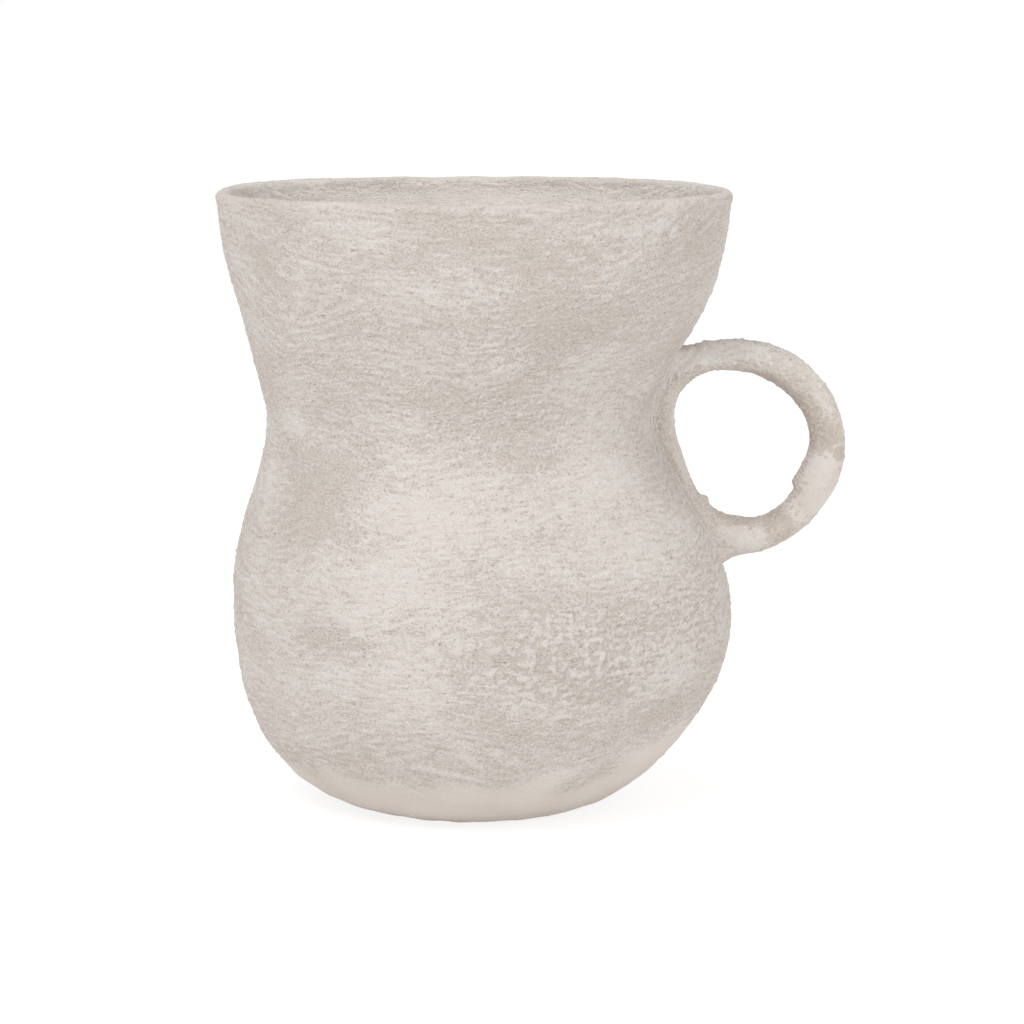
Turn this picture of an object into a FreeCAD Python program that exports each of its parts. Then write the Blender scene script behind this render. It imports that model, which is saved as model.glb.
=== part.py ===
"""A waisted, wide-mouthed vase with one ring handle, built by hand from pieces of clay.

The wall is raised in courses on a floor slab, each course bevelled onto the one below, and a
rolled lip closes the top. The handle is a coil bent to a whole ring. Its inner limb is pressed
half into the waist, with a strip of luting clay along each side of it, and collars of clay lute
it on where it leaves the wall. Millimetres, +Z up. The origin is the middle of the foot, on the
surface that the vase stands on, and the handle is on the +X side.
"""

import FreeCAD
import Part

import math
import os

VEC = FreeCAD.Vector

# Outside of the wall
BODY_HEIGHT = 250.0
FOOT_RADIUS = 45.0
BELLY_RADIUS = 101.2
BELLY_HEIGHT = 80.0
WAIST_RADIUS = 78.4
WAIST_HEIGHT = 160.0
RIM_RADIUS = 103.6

# How the outside swells from one of those radii to the next
FOOT_SWELL_POWER = 0.57
BELLY_SHOULDER_POWER = 1.14
FLARE_POWER = 0.74

# How far the wall's middle wanders to the handle's side, and where, as shares of the height
# and of that reach
LEAN_REACH = 4.7
LEAN_SHARES = ((0.0, 0.0), (0.295, 1.0), (0.647, -0.94), (0.855, 0.36), (1.0, 0.38))

# Thickness of the clay
WALL_AT_FOOT_THICKNESS = 6.5
WALL_AT_RIM_THICKNESS = 4.4
FLOOR_THICKNESS = 7.0

# Courses: the top of the foot's course, the equal ones that stand between it and the lip, and
# how far the bevel between two of them drops from the outside to the inside
FOOT_SEAM_HEIGHT = 24.0
COURSE_NAMES = (
    "lower_belly_course",
    "upper_belly_course",
    "shoulder_course",
    "waist_course",
    "neck_course",
    "mouth_course",
)
SEAM_DROP_HEIGHT = 3.0

# Rolled lip
LIP_HEIGHT = 7.0
LIP_ROLL_WIDTH = 0.5

# Ring handle: a round coil, its ring set a little below the waist and pressed into the wall,
# this deep where it goes deepest
COIL_RADIUS = 7.1
COIL_SINK_DEPTH = 9.45
RING_RADIUS = 35.0
RING_DROP_HEIGHT = 13.5

# The bent ring isn't a circle: the reach of its middle line in eight directions, from the
# handle's side and on over the top, as shares of its radius
RING_SHARES = (0.983, 0.985, 0.995, 1.16, 0.954, 0.93, 1.085, 1.037)

# Roots, where the coil's middle line stands this clear of the wall, and the collars of clay
# round it there: how far they reach along the coil, out and back, and how thick they are
ROOT_CLEARANCE = 5.4
COLLAR_LENGTH = 16.0
COLLAR_BURIED_LENGTH = 8.5
COLLAR_EDGE_THICKNESS = 0.6
UPPER_COLLAR_THICKNESS = 1.8
LOWER_COLLAR_THICKNESS = 4.0
COLLAR_STATIONS = 4

# Strips of luting clay on both sides of the inner limb
STRIP_HALF_WIDTH = 13.0
STRIP_THICKNESS = 3.2
STRIP_SINK_DEPTH = 3.0
STRIP_STATIONS = 6

# How the shapes are built
COURSE_STATIONS = 3
FOOT_STATIONS = 4
LINE_STATIONS = 9
HALVINGS = 14
OVERRUN = 20.0
SLOPE_STEP = 0.1
LEAST_RUN = 0.001
FULL_TURN = 360.0


def ease(share):
    """A smooth rise from 0 to 1, flat at both ends: half of one minus the cosine of a half turn."""
    return (1.0 - math.cos(math.pi * share)) / 2.0


def outer_radius(height):
    """Radius of the wall's outside at a height: a swelling foot, a shouldered belly and a flare."""
    if height <= BELLY_HEIGHT:
        left = 1.0 - max(height, 0.0) / BELLY_HEIGHT
        return FOOT_RADIUS + (BELLY_RADIUS - FOOT_RADIUS) * (1.0 - left**2) ** FOOT_SWELL_POWER
    if height <= WAIST_HEIGHT:
        share = (height - BELLY_HEIGHT) / (WAIST_HEIGHT - BELLY_HEIGHT)
        return BELLY_RADIUS + (WAIST_RADIUS - BELLY_RADIUS) * ease(share**BELLY_SHOULDER_POWER)
    share = min((height - WAIST_HEIGHT) / (BODY_HEIGHT - WAIST_HEIGHT), 1.0)
    return WAIST_RADIUS + (RIM_RADIUS - WAIST_RADIUS) * ease(share**FLARE_POWER)


def lean(height):
    """How far the wall's middle stands to the +X side at a height."""
    share = min(max(height / BODY_HEIGHT, 0.0), 1.0)
    for (low, low_lean), (high, high_lean) in zip(LEAN_SHARES, LEAN_SHARES[1:]):
        if share <= high:
            rise = ease((share - low) / (high - low))
            return LEAN_REACH * (low_lean + (high_lean - low_lean) * rise)
    return LEAN_REACH * LEAN_SHARES[-1][1]


def wall_side(height):
    """Where the outside stands on the handle's side at a height."""
    return lean(height) + outer_radius(height)


def wall_thickness(height):
    """Thickness of the wall, square to its face, thinning from the foot to the rim."""
    share = min(max(height / BODY_HEIGHT, 0.0), 1.0)
    return WALL_AT_FOOT_THICKNESS + (WALL_AT_RIM_THICKNESS - WALL_AT_FOOT_THICKNESS) * share


def slope(height):
    """How fast the outside widens with height."""
    low = max(height - SLOPE_STEP, 0.0)
    high = low + 2.0 * SLOPE_STEP
    return (outer_radius(high) - outer_radius(low)) / (high - low)


def inner_point(height):
    """Radius and height of the point on the inside that faces the outside at a height."""
    thickness = wall_thickness(height)
    lean_back = math.hypot(1.0, slope(height))
    return outer_radius(height) - thickness / lean_back, height + thickness * slope(height) / lean_back


def lip_seam_height():
    """Height of the level seam under the lip."""
    return BODY_HEIGHT - LIP_HEIGHT


def lip_inner_radius():
    """Radius of the mouth inside the lip."""
    return outer_radius(lip_seam_height()) - wall_thickness(lip_seam_height())


def seam_heights():
    """Heights of the seams on the outside, from the foot course's top to the seam under the lip."""
    rise = (lip_seam_height() - FOOT_SEAM_HEIGHT) / len(COURSE_NAMES)
    return [FOOT_SEAM_HEIGHT + rise * course for course in range(len(COURSE_NAMES))] + [lip_seam_height()]


def level_ring(radius, height):
    """A level circle round the wall's middle, as a closed wire."""
    return Part.Wire(Part.makeCircle(radius, VEC(lean(height), 0, height), VEC(0, 0, 1)))


def stations():
    """Heights at which the wall's section is set, closest where the foot turns."""
    stops = [FLOOR_THICKNESS * (step / FOOT_STATIONS) ** 2 for step in range(FOOT_STATIONS)]
    levels = [FLOOR_THICKNESS] + seam_heights()
    for low, high in zip(levels, levels[1:]):
        stops += [low + (high - low) * step / COURSE_STATIONS for step in range(COURSE_STATIONS)]
    return stops + [levels[-1]]


def outer_solid():
    """Everything inside the wall's outside, from the foot to the seam under the lip."""
    rings = [level_ring(outer_radius(height), height) for height in stations()]
    return Part.makeLoft(rings, True, False)


def inner_solid():
    """The hollow, from the floor's top face to the seam under the lip, with an overrun above."""
    floor_margin = FLOOR_THICKNESS / FOOT_STATIONS
    faced = [inner_point(height) for height in stations()]
    rings = [level_ring(faced[0][0], FLOOR_THICKNESS)]
    for radius, level in faced:
        if FLOOR_THICKNESS + floor_margin < level < lip_seam_height() - floor_margin:
            rings.append(level_ring(radius, level))
    rings.append(level_ring(lip_inner_radius(), lip_seam_height()))
    mouth_middle = VEC(lean(lip_seam_height()), 0, lip_seam_height())
    mouth = Part.makeCylinder(lip_inner_radius(), OVERRUN, mouth_middle)
    return Part.makeLoft(rings, True, False).fuse(mouth)


def below_level(height):
    """Everything below a level plane."""
    return Part.makeCylinder(BELLY_RADIUS + RIM_RADIUS, height + OVERRUN, VEC(0, 0, -OVERRUN))


def below_seam(height):
    """Everything below a seam: level inside and outside the wall, and bevelled through it."""
    thickness = wall_thickness(height)
    outside = outer_radius(height) + thickness
    inside = outer_radius(height) - 2.0 * thickness
    reach = BELLY_RADIUS + RIM_RADIUS
    high = height + SEAM_DROP_HEIGHT
    low = height - 2.0 * SEAM_DROP_HEIGHT
    outline = [
        VEC(0, 0, -OVERRUN),
        VEC(reach, 0, -OVERRUN),
        VEC(reach, 0, high),
        VEC(outside, 0, high),
        VEC(inside, 0, low),
        VEC(0, 0, low),
        VEC(0, 0, -OVERRUN),
    ]
    middle = VEC(lean(height), 0, 0)
    face = Part.Face(Part.makePolygon(outline))
    face.translate(middle)
    return face.revolve(middle, VEC(0, 0, 1), FULL_TURN)


def floor_slab(outside):
    """The slab that the wall stands on, cut from the foot's full width."""
    return outside.common(below_level(FLOOR_THICKNESS))


def courses(outside, hollow):
    """The courses of the wall by their names, from the foot up, each bevelled onto the one below."""
    wall = outside.cut(hollow)
    tops = [below_level(FLOOR_THICKNESS)]
    tops += [below_seam(height) for height in seam_heights()[:-1]]
    tops.append(below_level(BODY_HEIGHT))
    names = ("foot_course",) + COURSE_NAMES
    return {name: wall.common(top.cut(under)) for name, under, top in zip(names, tops, tops[1:])}


def rim_lip():
    """The rolled lip: the wall's own thickness at its seam, a half round a little proud on top."""
    seam = lip_seam_height()
    inside = lip_inner_radius()
    outside = outer_radius(seam)
    round_radius = (outside + LIP_ROLL_WIDTH - inside) / 2.0
    shoulder = BODY_HEIGHT - round_radius
    crest = VEC(inside + round_radius, 0, BODY_HEIGHT)
    edges = [
        Part.makeLine(VEC(outside, 0, seam), VEC(outside + LIP_ROLL_WIDTH, 0, shoulder)),
        Part.Arc(VEC(outside + LIP_ROLL_WIDTH, 0, shoulder), crest, VEC(inside, 0, shoulder)).toShape(),
        Part.makeLine(VEC(inside, 0, shoulder), VEC(inside, 0, seam)),
        Part.makeLine(VEC(inside, 0, seam), VEC(outside, 0, seam)),
    ]
    middle = VEC(lean(seam), 0, 0)
    face = Part.Face(Part.Wire(edges))
    face.translate(middle)
    return face.revolve(middle, VEC(0, 0, 1), FULL_TURN)


def turned(angle):
    """A unit step at an angle above +X, in degrees, in the plane of the ring."""
    return VEC(math.cos(math.radians(angle)), 0, math.sin(math.radians(angle)))


def ring_bends(middle):
    """Each bend of the ring's middle line: its start, heading, middle, turn in degrees, and end.

    The line rounds the corners of an outline with one corner for each share. A bend starts half
    of the shorter side before its corner and ends as far after it.
    """
    corners = len(RING_SHARES)
    spread = 1.0 / math.cos(math.pi / corners)
    points = []
    for index, share in enumerate(RING_SHARES):
        points.append(middle + turned(index * FULL_TURN / corners) * share * RING_RADIUS * spread)
    bends = []
    for index, corner in enumerate(points):
        into = corner - points[index - 1]
        onward = points[(index + 1) % corners] - corner
        reach = min(into.Length, onward.Length) / 2.0
        turn = math.degrees(into.getAngle(onward))
        heading = into.normalize()
        start = corner - heading * reach
        radius = reach / math.tan(math.radians(turn / 2.0))
        centre = start + VEC(-heading.z, 0, heading.x) * radius
        bends.append((start, heading, centre, turn, corner + onward.normalize() * reach))
    return bends


def straight_runs(bends):
    """The straight runs left between the bends: the start and the step of each."""
    runs = [(bend[-1], following[0] - bend[-1]) for bend, following in zip(bends, bends[1:] + bends[:1])]
    return [(start, step) for start, step in runs if step.Length > LEAST_RUN]


def ring_line(bends):
    """The edges of the ring's middle line, each running counter-clockwise."""
    edges = [Part.makeLine(start, start + step) for start, step in straight_runs(bends)]
    for start, _, centre, turn, end in bends:
        spoke = start - centre
        halfway = math.degrees(math.atan2(spoke.z, spoke.x)) + turn / 2.0
        edges.append(Part.Arc(start, centre + turned(halfway) * spoke.Length, end).toShape())
    return edges


def ring_middle():
    """Middle of the ring, slid to the wall until the coil's skin is sunk to its depth in it."""
    foot_of_slide = VEC(0, 0, WAIST_HEIGHT - RING_DROP_HEIGHT)
    needed = []
    for edge in ring_line(ring_bends(foot_of_slide)):
        needed += [wall_side(point.z) - point.x for point in edge.discretize(LINE_STATIONS)]
    return foot_of_slide + VEC(max(needed) + COIL_RADIUS - COIL_SINK_DEPTH, 0, 0)


def coil(bends):
    """The whole ring: a round coil along its middle line, bend by bend and run by run."""
    pieces = []
    for start, heading, centre, turn, _ in bends:
        section = Part.Face(Part.Wire(Part.makeCircle(COIL_RADIUS, start, heading)))
        pieces.append(section.revolve(centre, VEC(0, -1, 0), turn))
    for start, step in straight_runs(bends):
        pieces.append(Part.makeCylinder(COIL_RADIUS, step.Length, start, step))
    return pieces[0].multiFuse(pieces[1:]).removeSplitter()


def ring_line_at(line, middle, angle):
    """Point and heading of the ring's middle line at an angle about the ring's middle."""
    ray = Part.makeLine(middle, middle + turned(angle) * RING_RADIUS * 2.0)
    nearest = min(line, key=lambda edge: edge.distToShape(ray)[0])
    point = nearest.distToShape(ray)[1][0][0]
    return point, nearest.tangentAt(nearest.Curve.parameter(point))


def root_angle(line, middle, free_angle):
    """Angle about the ring's middle of a root, found by halving from a free side to the wall's."""
    free = free_angle
    buried = FULL_TURN / 2.0
    for _ in range(HALVINGS):
        halfway = (free + buried) / 2.0
        point, _ = ring_line_at(line, middle, halfway)
        if point.x - wall_side(point.z) > ROOT_CLEARANCE:
            free = halfway
        else:
            buried = halfway
    return free


def collar(line, middle, root, outward, thickness):
    """Clay heaped round the coil at a root, thinning along the coil to an edge.

    root is an angle about the ring's middle. outward is 1 where the angle grows away from the
    wall and -1 where it falls.
    """
    sections = []
    for station in range(COLLAR_STATIONS):
        share = station / (COLLAR_STATIONS - 1)
        travel = share * (COLLAR_LENGTH + COLLAR_BURIED_LENGTH) - COLLAR_BURIED_LENGTH
        point, heading = ring_line_at(line, middle, root + outward * math.degrees(travel / RING_RADIUS))
        heaped = thickness * (1.0 - share) ** 2
        away = (point - middle).normalize()
        radius = COIL_RADIUS + COLLAR_EDGE_THICKNESS + heaped
        sections.append(Part.Wire(Part.makeCircle(radius, point + away * heaped, heading * outward)))
    return Part.makeLoft(sections, True, False)


def strip_section(height):
    """One oval across the inner limb's bed, square to the wall on the handle's side."""
    widening = wall_side(height + SLOPE_STEP) - wall_side(height - SLOPE_STEP)
    along = VEC(widening, 0, 2.0 * SLOPE_STEP).normalize()
    out = VEC(along.z, 0, -along.x)
    centre = VEC(wall_side(height), 0, height) - out * STRIP_SINK_DEPTH
    crown = centre + out * (STRIP_SINK_DEPTH + STRIP_THICKNESS)
    oval = Part.Ellipse(centre + VEC(0, STRIP_HALF_WIDTH, 0), crown, centre)
    return Part.Wire(oval.toShape())


def luting_bed(low, high):
    """The bed of luting clay under the whole inner limb, between the heights of its two roots."""
    heights = [low + (high - low) * step / (STRIP_STATIONS - 1) for step in range(STRIP_STATIONS)]
    return Part.makeLoft([strip_section(height) for height in heights], True, False)


def handle_pieces(outside):
    """The ring, its two collars and its two strips, each trimmed to what it is luted on."""
    middle = ring_middle()
    bends = ring_bends(middle)
    line = ring_line(bends)
    whole_coil = coil(bends)
    upper_root = root_angle(line, middle, FULL_TURN / 4.0)
    lower_root = root_angle(line, middle, FULL_TURN * 3.0 / 4.0)
    upper = collar(line, middle, upper_root, -1, UPPER_COLLAR_THICKNESS)
    lower = collar(line, middle, lower_root, 1, LOWER_COLLAR_THICKNESS)
    roots = [ring_line_at(line, middle, root)[0].z for root in (lower_root, upper_root)]
    bed = luting_bed(*roots).cut(outside).cut(whole_coil).cut(upper).cut(lower)
    reach = BELLY_RADIUS + RIM_RADIUS
    front_half = Part.makeBox(2.0 * reach, reach, BODY_HEIGHT, VEC(-reach, -reach, 0))
    print(f"ring middle {middle}, roots at {upper_root:.1f} and {lower_root:.1f} degrees")
    return {
        "ring_handle": whole_coil.cut(outside),
        "upper_luting_collar": upper.cut(outside).cut(whole_coil),
        "lower_luting_collar": lower.cut(outside).cut(whole_coil),
        "front_luting_strip": bed.common(front_half),
        "back_luting_strip": bed.cut(front_half),
    }


def build():
    """Every piece of the vase by its name."""
    outside = outer_solid()
    pieces = {"floor_slab": floor_slab(outside)}
    pieces.update(courses(outside, inner_solid()))
    pieces["rim_lip"] = rim_lip()
    pieces.update(handle_pieces(outside))
    return pieces


os.makedirs("parts", exist_ok=True)
for name, shape in build().items():
    shape.exportStep(f"parts/{name}.step")
    print(f"{name}: {len(shape.Solids)} solid, {shape.Volume / 1000.0:.2f} cm3, valid {shape.isValid()}")
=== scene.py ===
"""A hand-built clay vase with one ring handle, under a brushed chalky slip.

The vase's skin is one unbroken sheet that runs from the middle of the foot, up the outside, over
the lip and down the inside to the middle of the floor. The slab, the courses and the lip are
closed shells cut from that sheet at their seams, so the slip runs on from one to the next. The
handle is a tube about a bent ring, pressed into the wall, and the luting clay fills the crease
between the two. Sizes are millimetres until a mesh is made. The camera looks along +Y.
"""

import dataclasses
import enum
import logging
import math
from collections.abc import Callable

import bpy
import numpy as np
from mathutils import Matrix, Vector


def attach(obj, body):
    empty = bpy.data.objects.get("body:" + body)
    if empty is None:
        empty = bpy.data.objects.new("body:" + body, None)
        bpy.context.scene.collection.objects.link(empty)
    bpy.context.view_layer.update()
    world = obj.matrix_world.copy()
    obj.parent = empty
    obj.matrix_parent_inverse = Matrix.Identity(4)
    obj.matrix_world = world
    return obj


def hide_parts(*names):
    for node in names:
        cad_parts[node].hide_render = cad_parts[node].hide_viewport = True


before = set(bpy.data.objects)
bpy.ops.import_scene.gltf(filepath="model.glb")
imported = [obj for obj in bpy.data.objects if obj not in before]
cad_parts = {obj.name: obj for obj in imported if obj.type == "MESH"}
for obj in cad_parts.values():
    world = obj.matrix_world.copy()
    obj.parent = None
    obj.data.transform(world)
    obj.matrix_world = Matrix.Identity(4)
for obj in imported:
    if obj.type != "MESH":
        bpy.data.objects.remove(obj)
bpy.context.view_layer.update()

LOG = logging.getLogger("vase")
MM = 0.001
FULL_TURN = 2.0 * math.pi
RING_RADIUS = 36.0
COIL_RADIUS = 7.0
PROFILE_SAMPLES = 1500
Array = np.ndarray
Colour = tuple[float, float, float]
Socket = bpy.types.NodeSocket


class Node(enum.Enum):
    """The pieces of the construction that the scene's own pieces stand for."""

    FLOOR_SLAB = "floor_slab"
    FOOT_COURSE = "foot_course"
    LOWER_BELLY_COURSE = "lower_belly_course"
    UPPER_BELLY_COURSE = "upper_belly_course"
    SHOULDER_COURSE = "shoulder_course"
    WAIST_COURSE = "waist_course"
    NECK_COURSE = "neck_course"
    MOUTH_COURSE = "mouth_course"
    RIM_LIP = "rim_lip"
    RING_HANDLE = "ring_handle"
    UPPER_LUTING_COLLAR = "upper_luting_collar"
    LOWER_LUTING_COLLAR = "lower_luting_collar"
    FRONT_LUTING_STRIP = "front_luting_strip"
    BACK_LUTING_STRIP = "back_luting_strip"


WALL_COURSES = (
    Node.LOWER_BELLY_COURSE,
    Node.UPPER_BELLY_COURSE,
    Node.SHOULDER_COURSE,
    Node.WAIST_COURSE,
    Node.NECK_COURSE,
    Node.MOUTH_COURSE,
)


def ease(share: Array) -> Array:
    """A smooth rise from 0 to 1: half of one minus the cosine of a half turn."""
    return (1.0 - np.cos(np.pi * np.clip(share, 0.0, 1.0))) / 2.0


def step_over(value: Array, level: float | Array, width: float | Array) -> Array:
    """A soft step, half a hyperbolic tangent: 0 below the level and 1 above it."""
    return 0.5 + 0.5 * np.tanh((value - level) / width)


def raised(share: Array, floor: float) -> Array:
    """A share that starts at a floor in place of 0, and still ends at 1."""
    return floor + (1.0 - floor) * share


def angle_gap(angle: Array, middle: float) -> Array:
    """Signed turn in radians from the middle angle to each angle, at most half a turn."""
    return np.angle(np.exp(1j * (angle - middle)))


def unit(vectors: Array) -> Array:
    """The vectors divided by their lengths."""
    return vectors / np.maximum(np.linalg.norm(vectors, axis=-1, keepdims=True), 1e-12)


def closed_steps(points: Array, axis: int) -> Array:
    """Steps from the point before each point to the one after it, along an axis that closes up."""
    return np.roll(points, -1, axis) - np.roll(points, 1, axis)


def smooth_loop(values: tuple[float, ...], angle: Array) -> Array:
    """A smooth closed curve through values that stand at equal steps of a turn.

    It is the sum of the whole waves that the values hold, each wave at the angle.

    Args:
        values: The heights of the curve, the first at angle 0.
        angle: Where the curve is wanted, in radians.

    Returns:
        The curve's height at each angle.
    """
    count = len(values)
    waves = np.fft.rfft(values) / count
    total = np.full(angle.shape, waves[0].real)
    for order, wave in enumerate(waves[1:], start=1):
        share = 1.0 if 2 * order == count else 2.0
        total = total + share * (wave * np.exp(1j * order * angle)).real
    return total


def even_stops(
    start: float, end: float, count: int, place: Callable[[Array], tuple[Array, Array]]
) -> Array:
    """Values from start to end whose places along a curve are evenly spaced, without the end.

    Args:
        start: First value.
        end: Value after the last.
        count: How many values.
        place: Gives radius and height for an array of values.

    Returns:
        The values, evenly spaced by the length of the curve.
    """
    fine = np.linspace(start, end, PROFILE_SAMPLES)
    radius, height = place(fine)
    length = np.concatenate([[0.0], np.cumsum(np.hypot(np.diff(radius), np.diff(height)))])
    return np.interp(np.linspace(0.0, length[-1], count + 1)[:-1], length, fine)


class Grain:
    """A sheet of noise that repeats round the vase, as the sum of waves in one band of lengths.

    White noise is passed through a band that is widest at the wanted wavelengths: the square of
    the wave number times a falling bell of it, where a wave number is counted in wanted waves.
    """

    def __init__(
        self, extent: tuple[float, float], step: float, waves: tuple[float, float], seed: int
    ) -> None:
        """Makes the sheet.

        Args:
            extent: Length of the sheet along and across, after which it repeats.
            step: Distance between its points.
            waves: Wanted wavelength along and across.
            seed: Start of the random draw.
        """
        self.step = step
        columns, rows = (max(int(round(size / step)), 2) for size in extent)
        white = np.random.default_rng(seed).standard_normal((rows, columns))
        along = np.fft.rfftfreq(columns, step) * waves[0]
        across = np.fft.fftfreq(rows, step)[:, None] * waves[1]
        square = along**2 + across**2
        sheet = np.fft.irfft2(np.fft.rfft2(white) * square * np.exp(-square), s=(rows, columns))
        self.sheet = sheet / sheet.std()

    def at(self, along: Array, across: Array) -> Array:
        """Height of the noise between its points, by shares of the four nearest.

        Args:
            along: Place along the sheet.
            across: Place across it.

        Returns:
            The noise there, with a spread of 1.
        """
        rows, columns = self.sheet.shape
        column, row = along / self.step, across / self.step
        left, low = np.floor(column).astype(int), np.floor(row).astype(int)
        rightward, upward = column - left, row - low
        left, right = left % columns, (left + 1) % columns
        low, high = low % rows, (low + 1) % rows
        sheet = self.sheet
        lower = sheet[low, left] * (1.0 - rightward) + sheet[low, right] * rightward
        upper = sheet[high, left] * (1.0 - rightward) + sheet[high, right] * rightward
        return lower * (1.0 - upward) + upper * upward


@dataclasses.dataclass(frozen=True)
class Mix:
    """How much of each layer goes into one property of the slip, on top of a plain value.

    The layers are the noises and what is made of them: coat and bare ground, clots, ledges,
    crumbs and pits.
    """

    plain: float = 0.0
    speckle: float = 0.0
    grit: float = 0.0
    islands: float = 0.0
    strokes: float = 0.0
    long_strokes: float = 0.0
    waves: float = 0.0
    lumps: float = 0.0
    clouds: float = 0.0
    broad_clouds: float = 0.0
    hand: float = 0.0
    coat: float = 0.0
    bare: float = 0.0
    clots: float = 0.0
    ledges: float = 0.0
    crumbs: float = 0.0
    pits: float = 0.0

    def of(self, layers: dict[str, Array]) -> Array:
        """The plain value plus each layer times its share.

        Args:
            layers: The layers by name, all on the same grid.

        Returns:
            The property on that grid.
        """
        shares = dataclasses.asdict(self)
        plain = shares.pop("plain")
        return plain + sum(share * layers[name] for name, share in shares.items() if share)


@dataclasses.dataclass(frozen=True)
class Edge:
    """A soft step at a level, over about twice its width."""

    level: float
    width: float

    def over(self, value: Array) -> Array:
        """0 below the level and 1 above it."""
        return step_over(value, self.level, self.width)


@dataclasses.dataclass(frozen=True)
class WallSpot:
    """A place on the wall: an angle in degrees, a height and half sizes.

    The angle is counted from the handle's side, and the front is at -90 degrees.
    """

    angle: float
    height: float
    half_width: float
    half_height: float

    def offsets(self, angle: Array, height: Array, radius: Array) -> tuple[Array, Array]:
        """How far points lie beside and above the spot, counted in its half sizes."""
        beside = angle_gap(angle, math.radians(self.angle)) * radius / self.half_width
        return beside, (height - self.height) / self.half_height


@dataclasses.dataclass(frozen=True)
class Patch(WallSpot):
    """A place on the wall where the slip is thinner, thicker or more crusty, by a strength."""

    strength: float

    def weight(self, angle: Array, height: Array, radius: Array) -> Array:
        """The strength times a bell, the exponential of minus the squares of the offsets."""
        beside, above = self.offsets(angle, height, radius)
        return self.strength * np.exp(-(beside**2) - above**2)


@dataclasses.dataclass(frozen=True)
class Crust(WallSpot):
    """A broken edge of thick slip on the wall."""

    rise: float
    lower_edge: Edge = Edge(0.0, 0.18)

    def lift(self, angle: Array, height: Array, radius: Array) -> Array:
        """Height of the crust: a bell along the wall, with a sharp lower edge and a long back."""
        beside, above = self.offsets(angle, height, radius)
        bell = np.exp(-(beside**2) - np.maximum(above, 0.0))
        return self.rise * bell * self.lower_edge.over(above)


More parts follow.
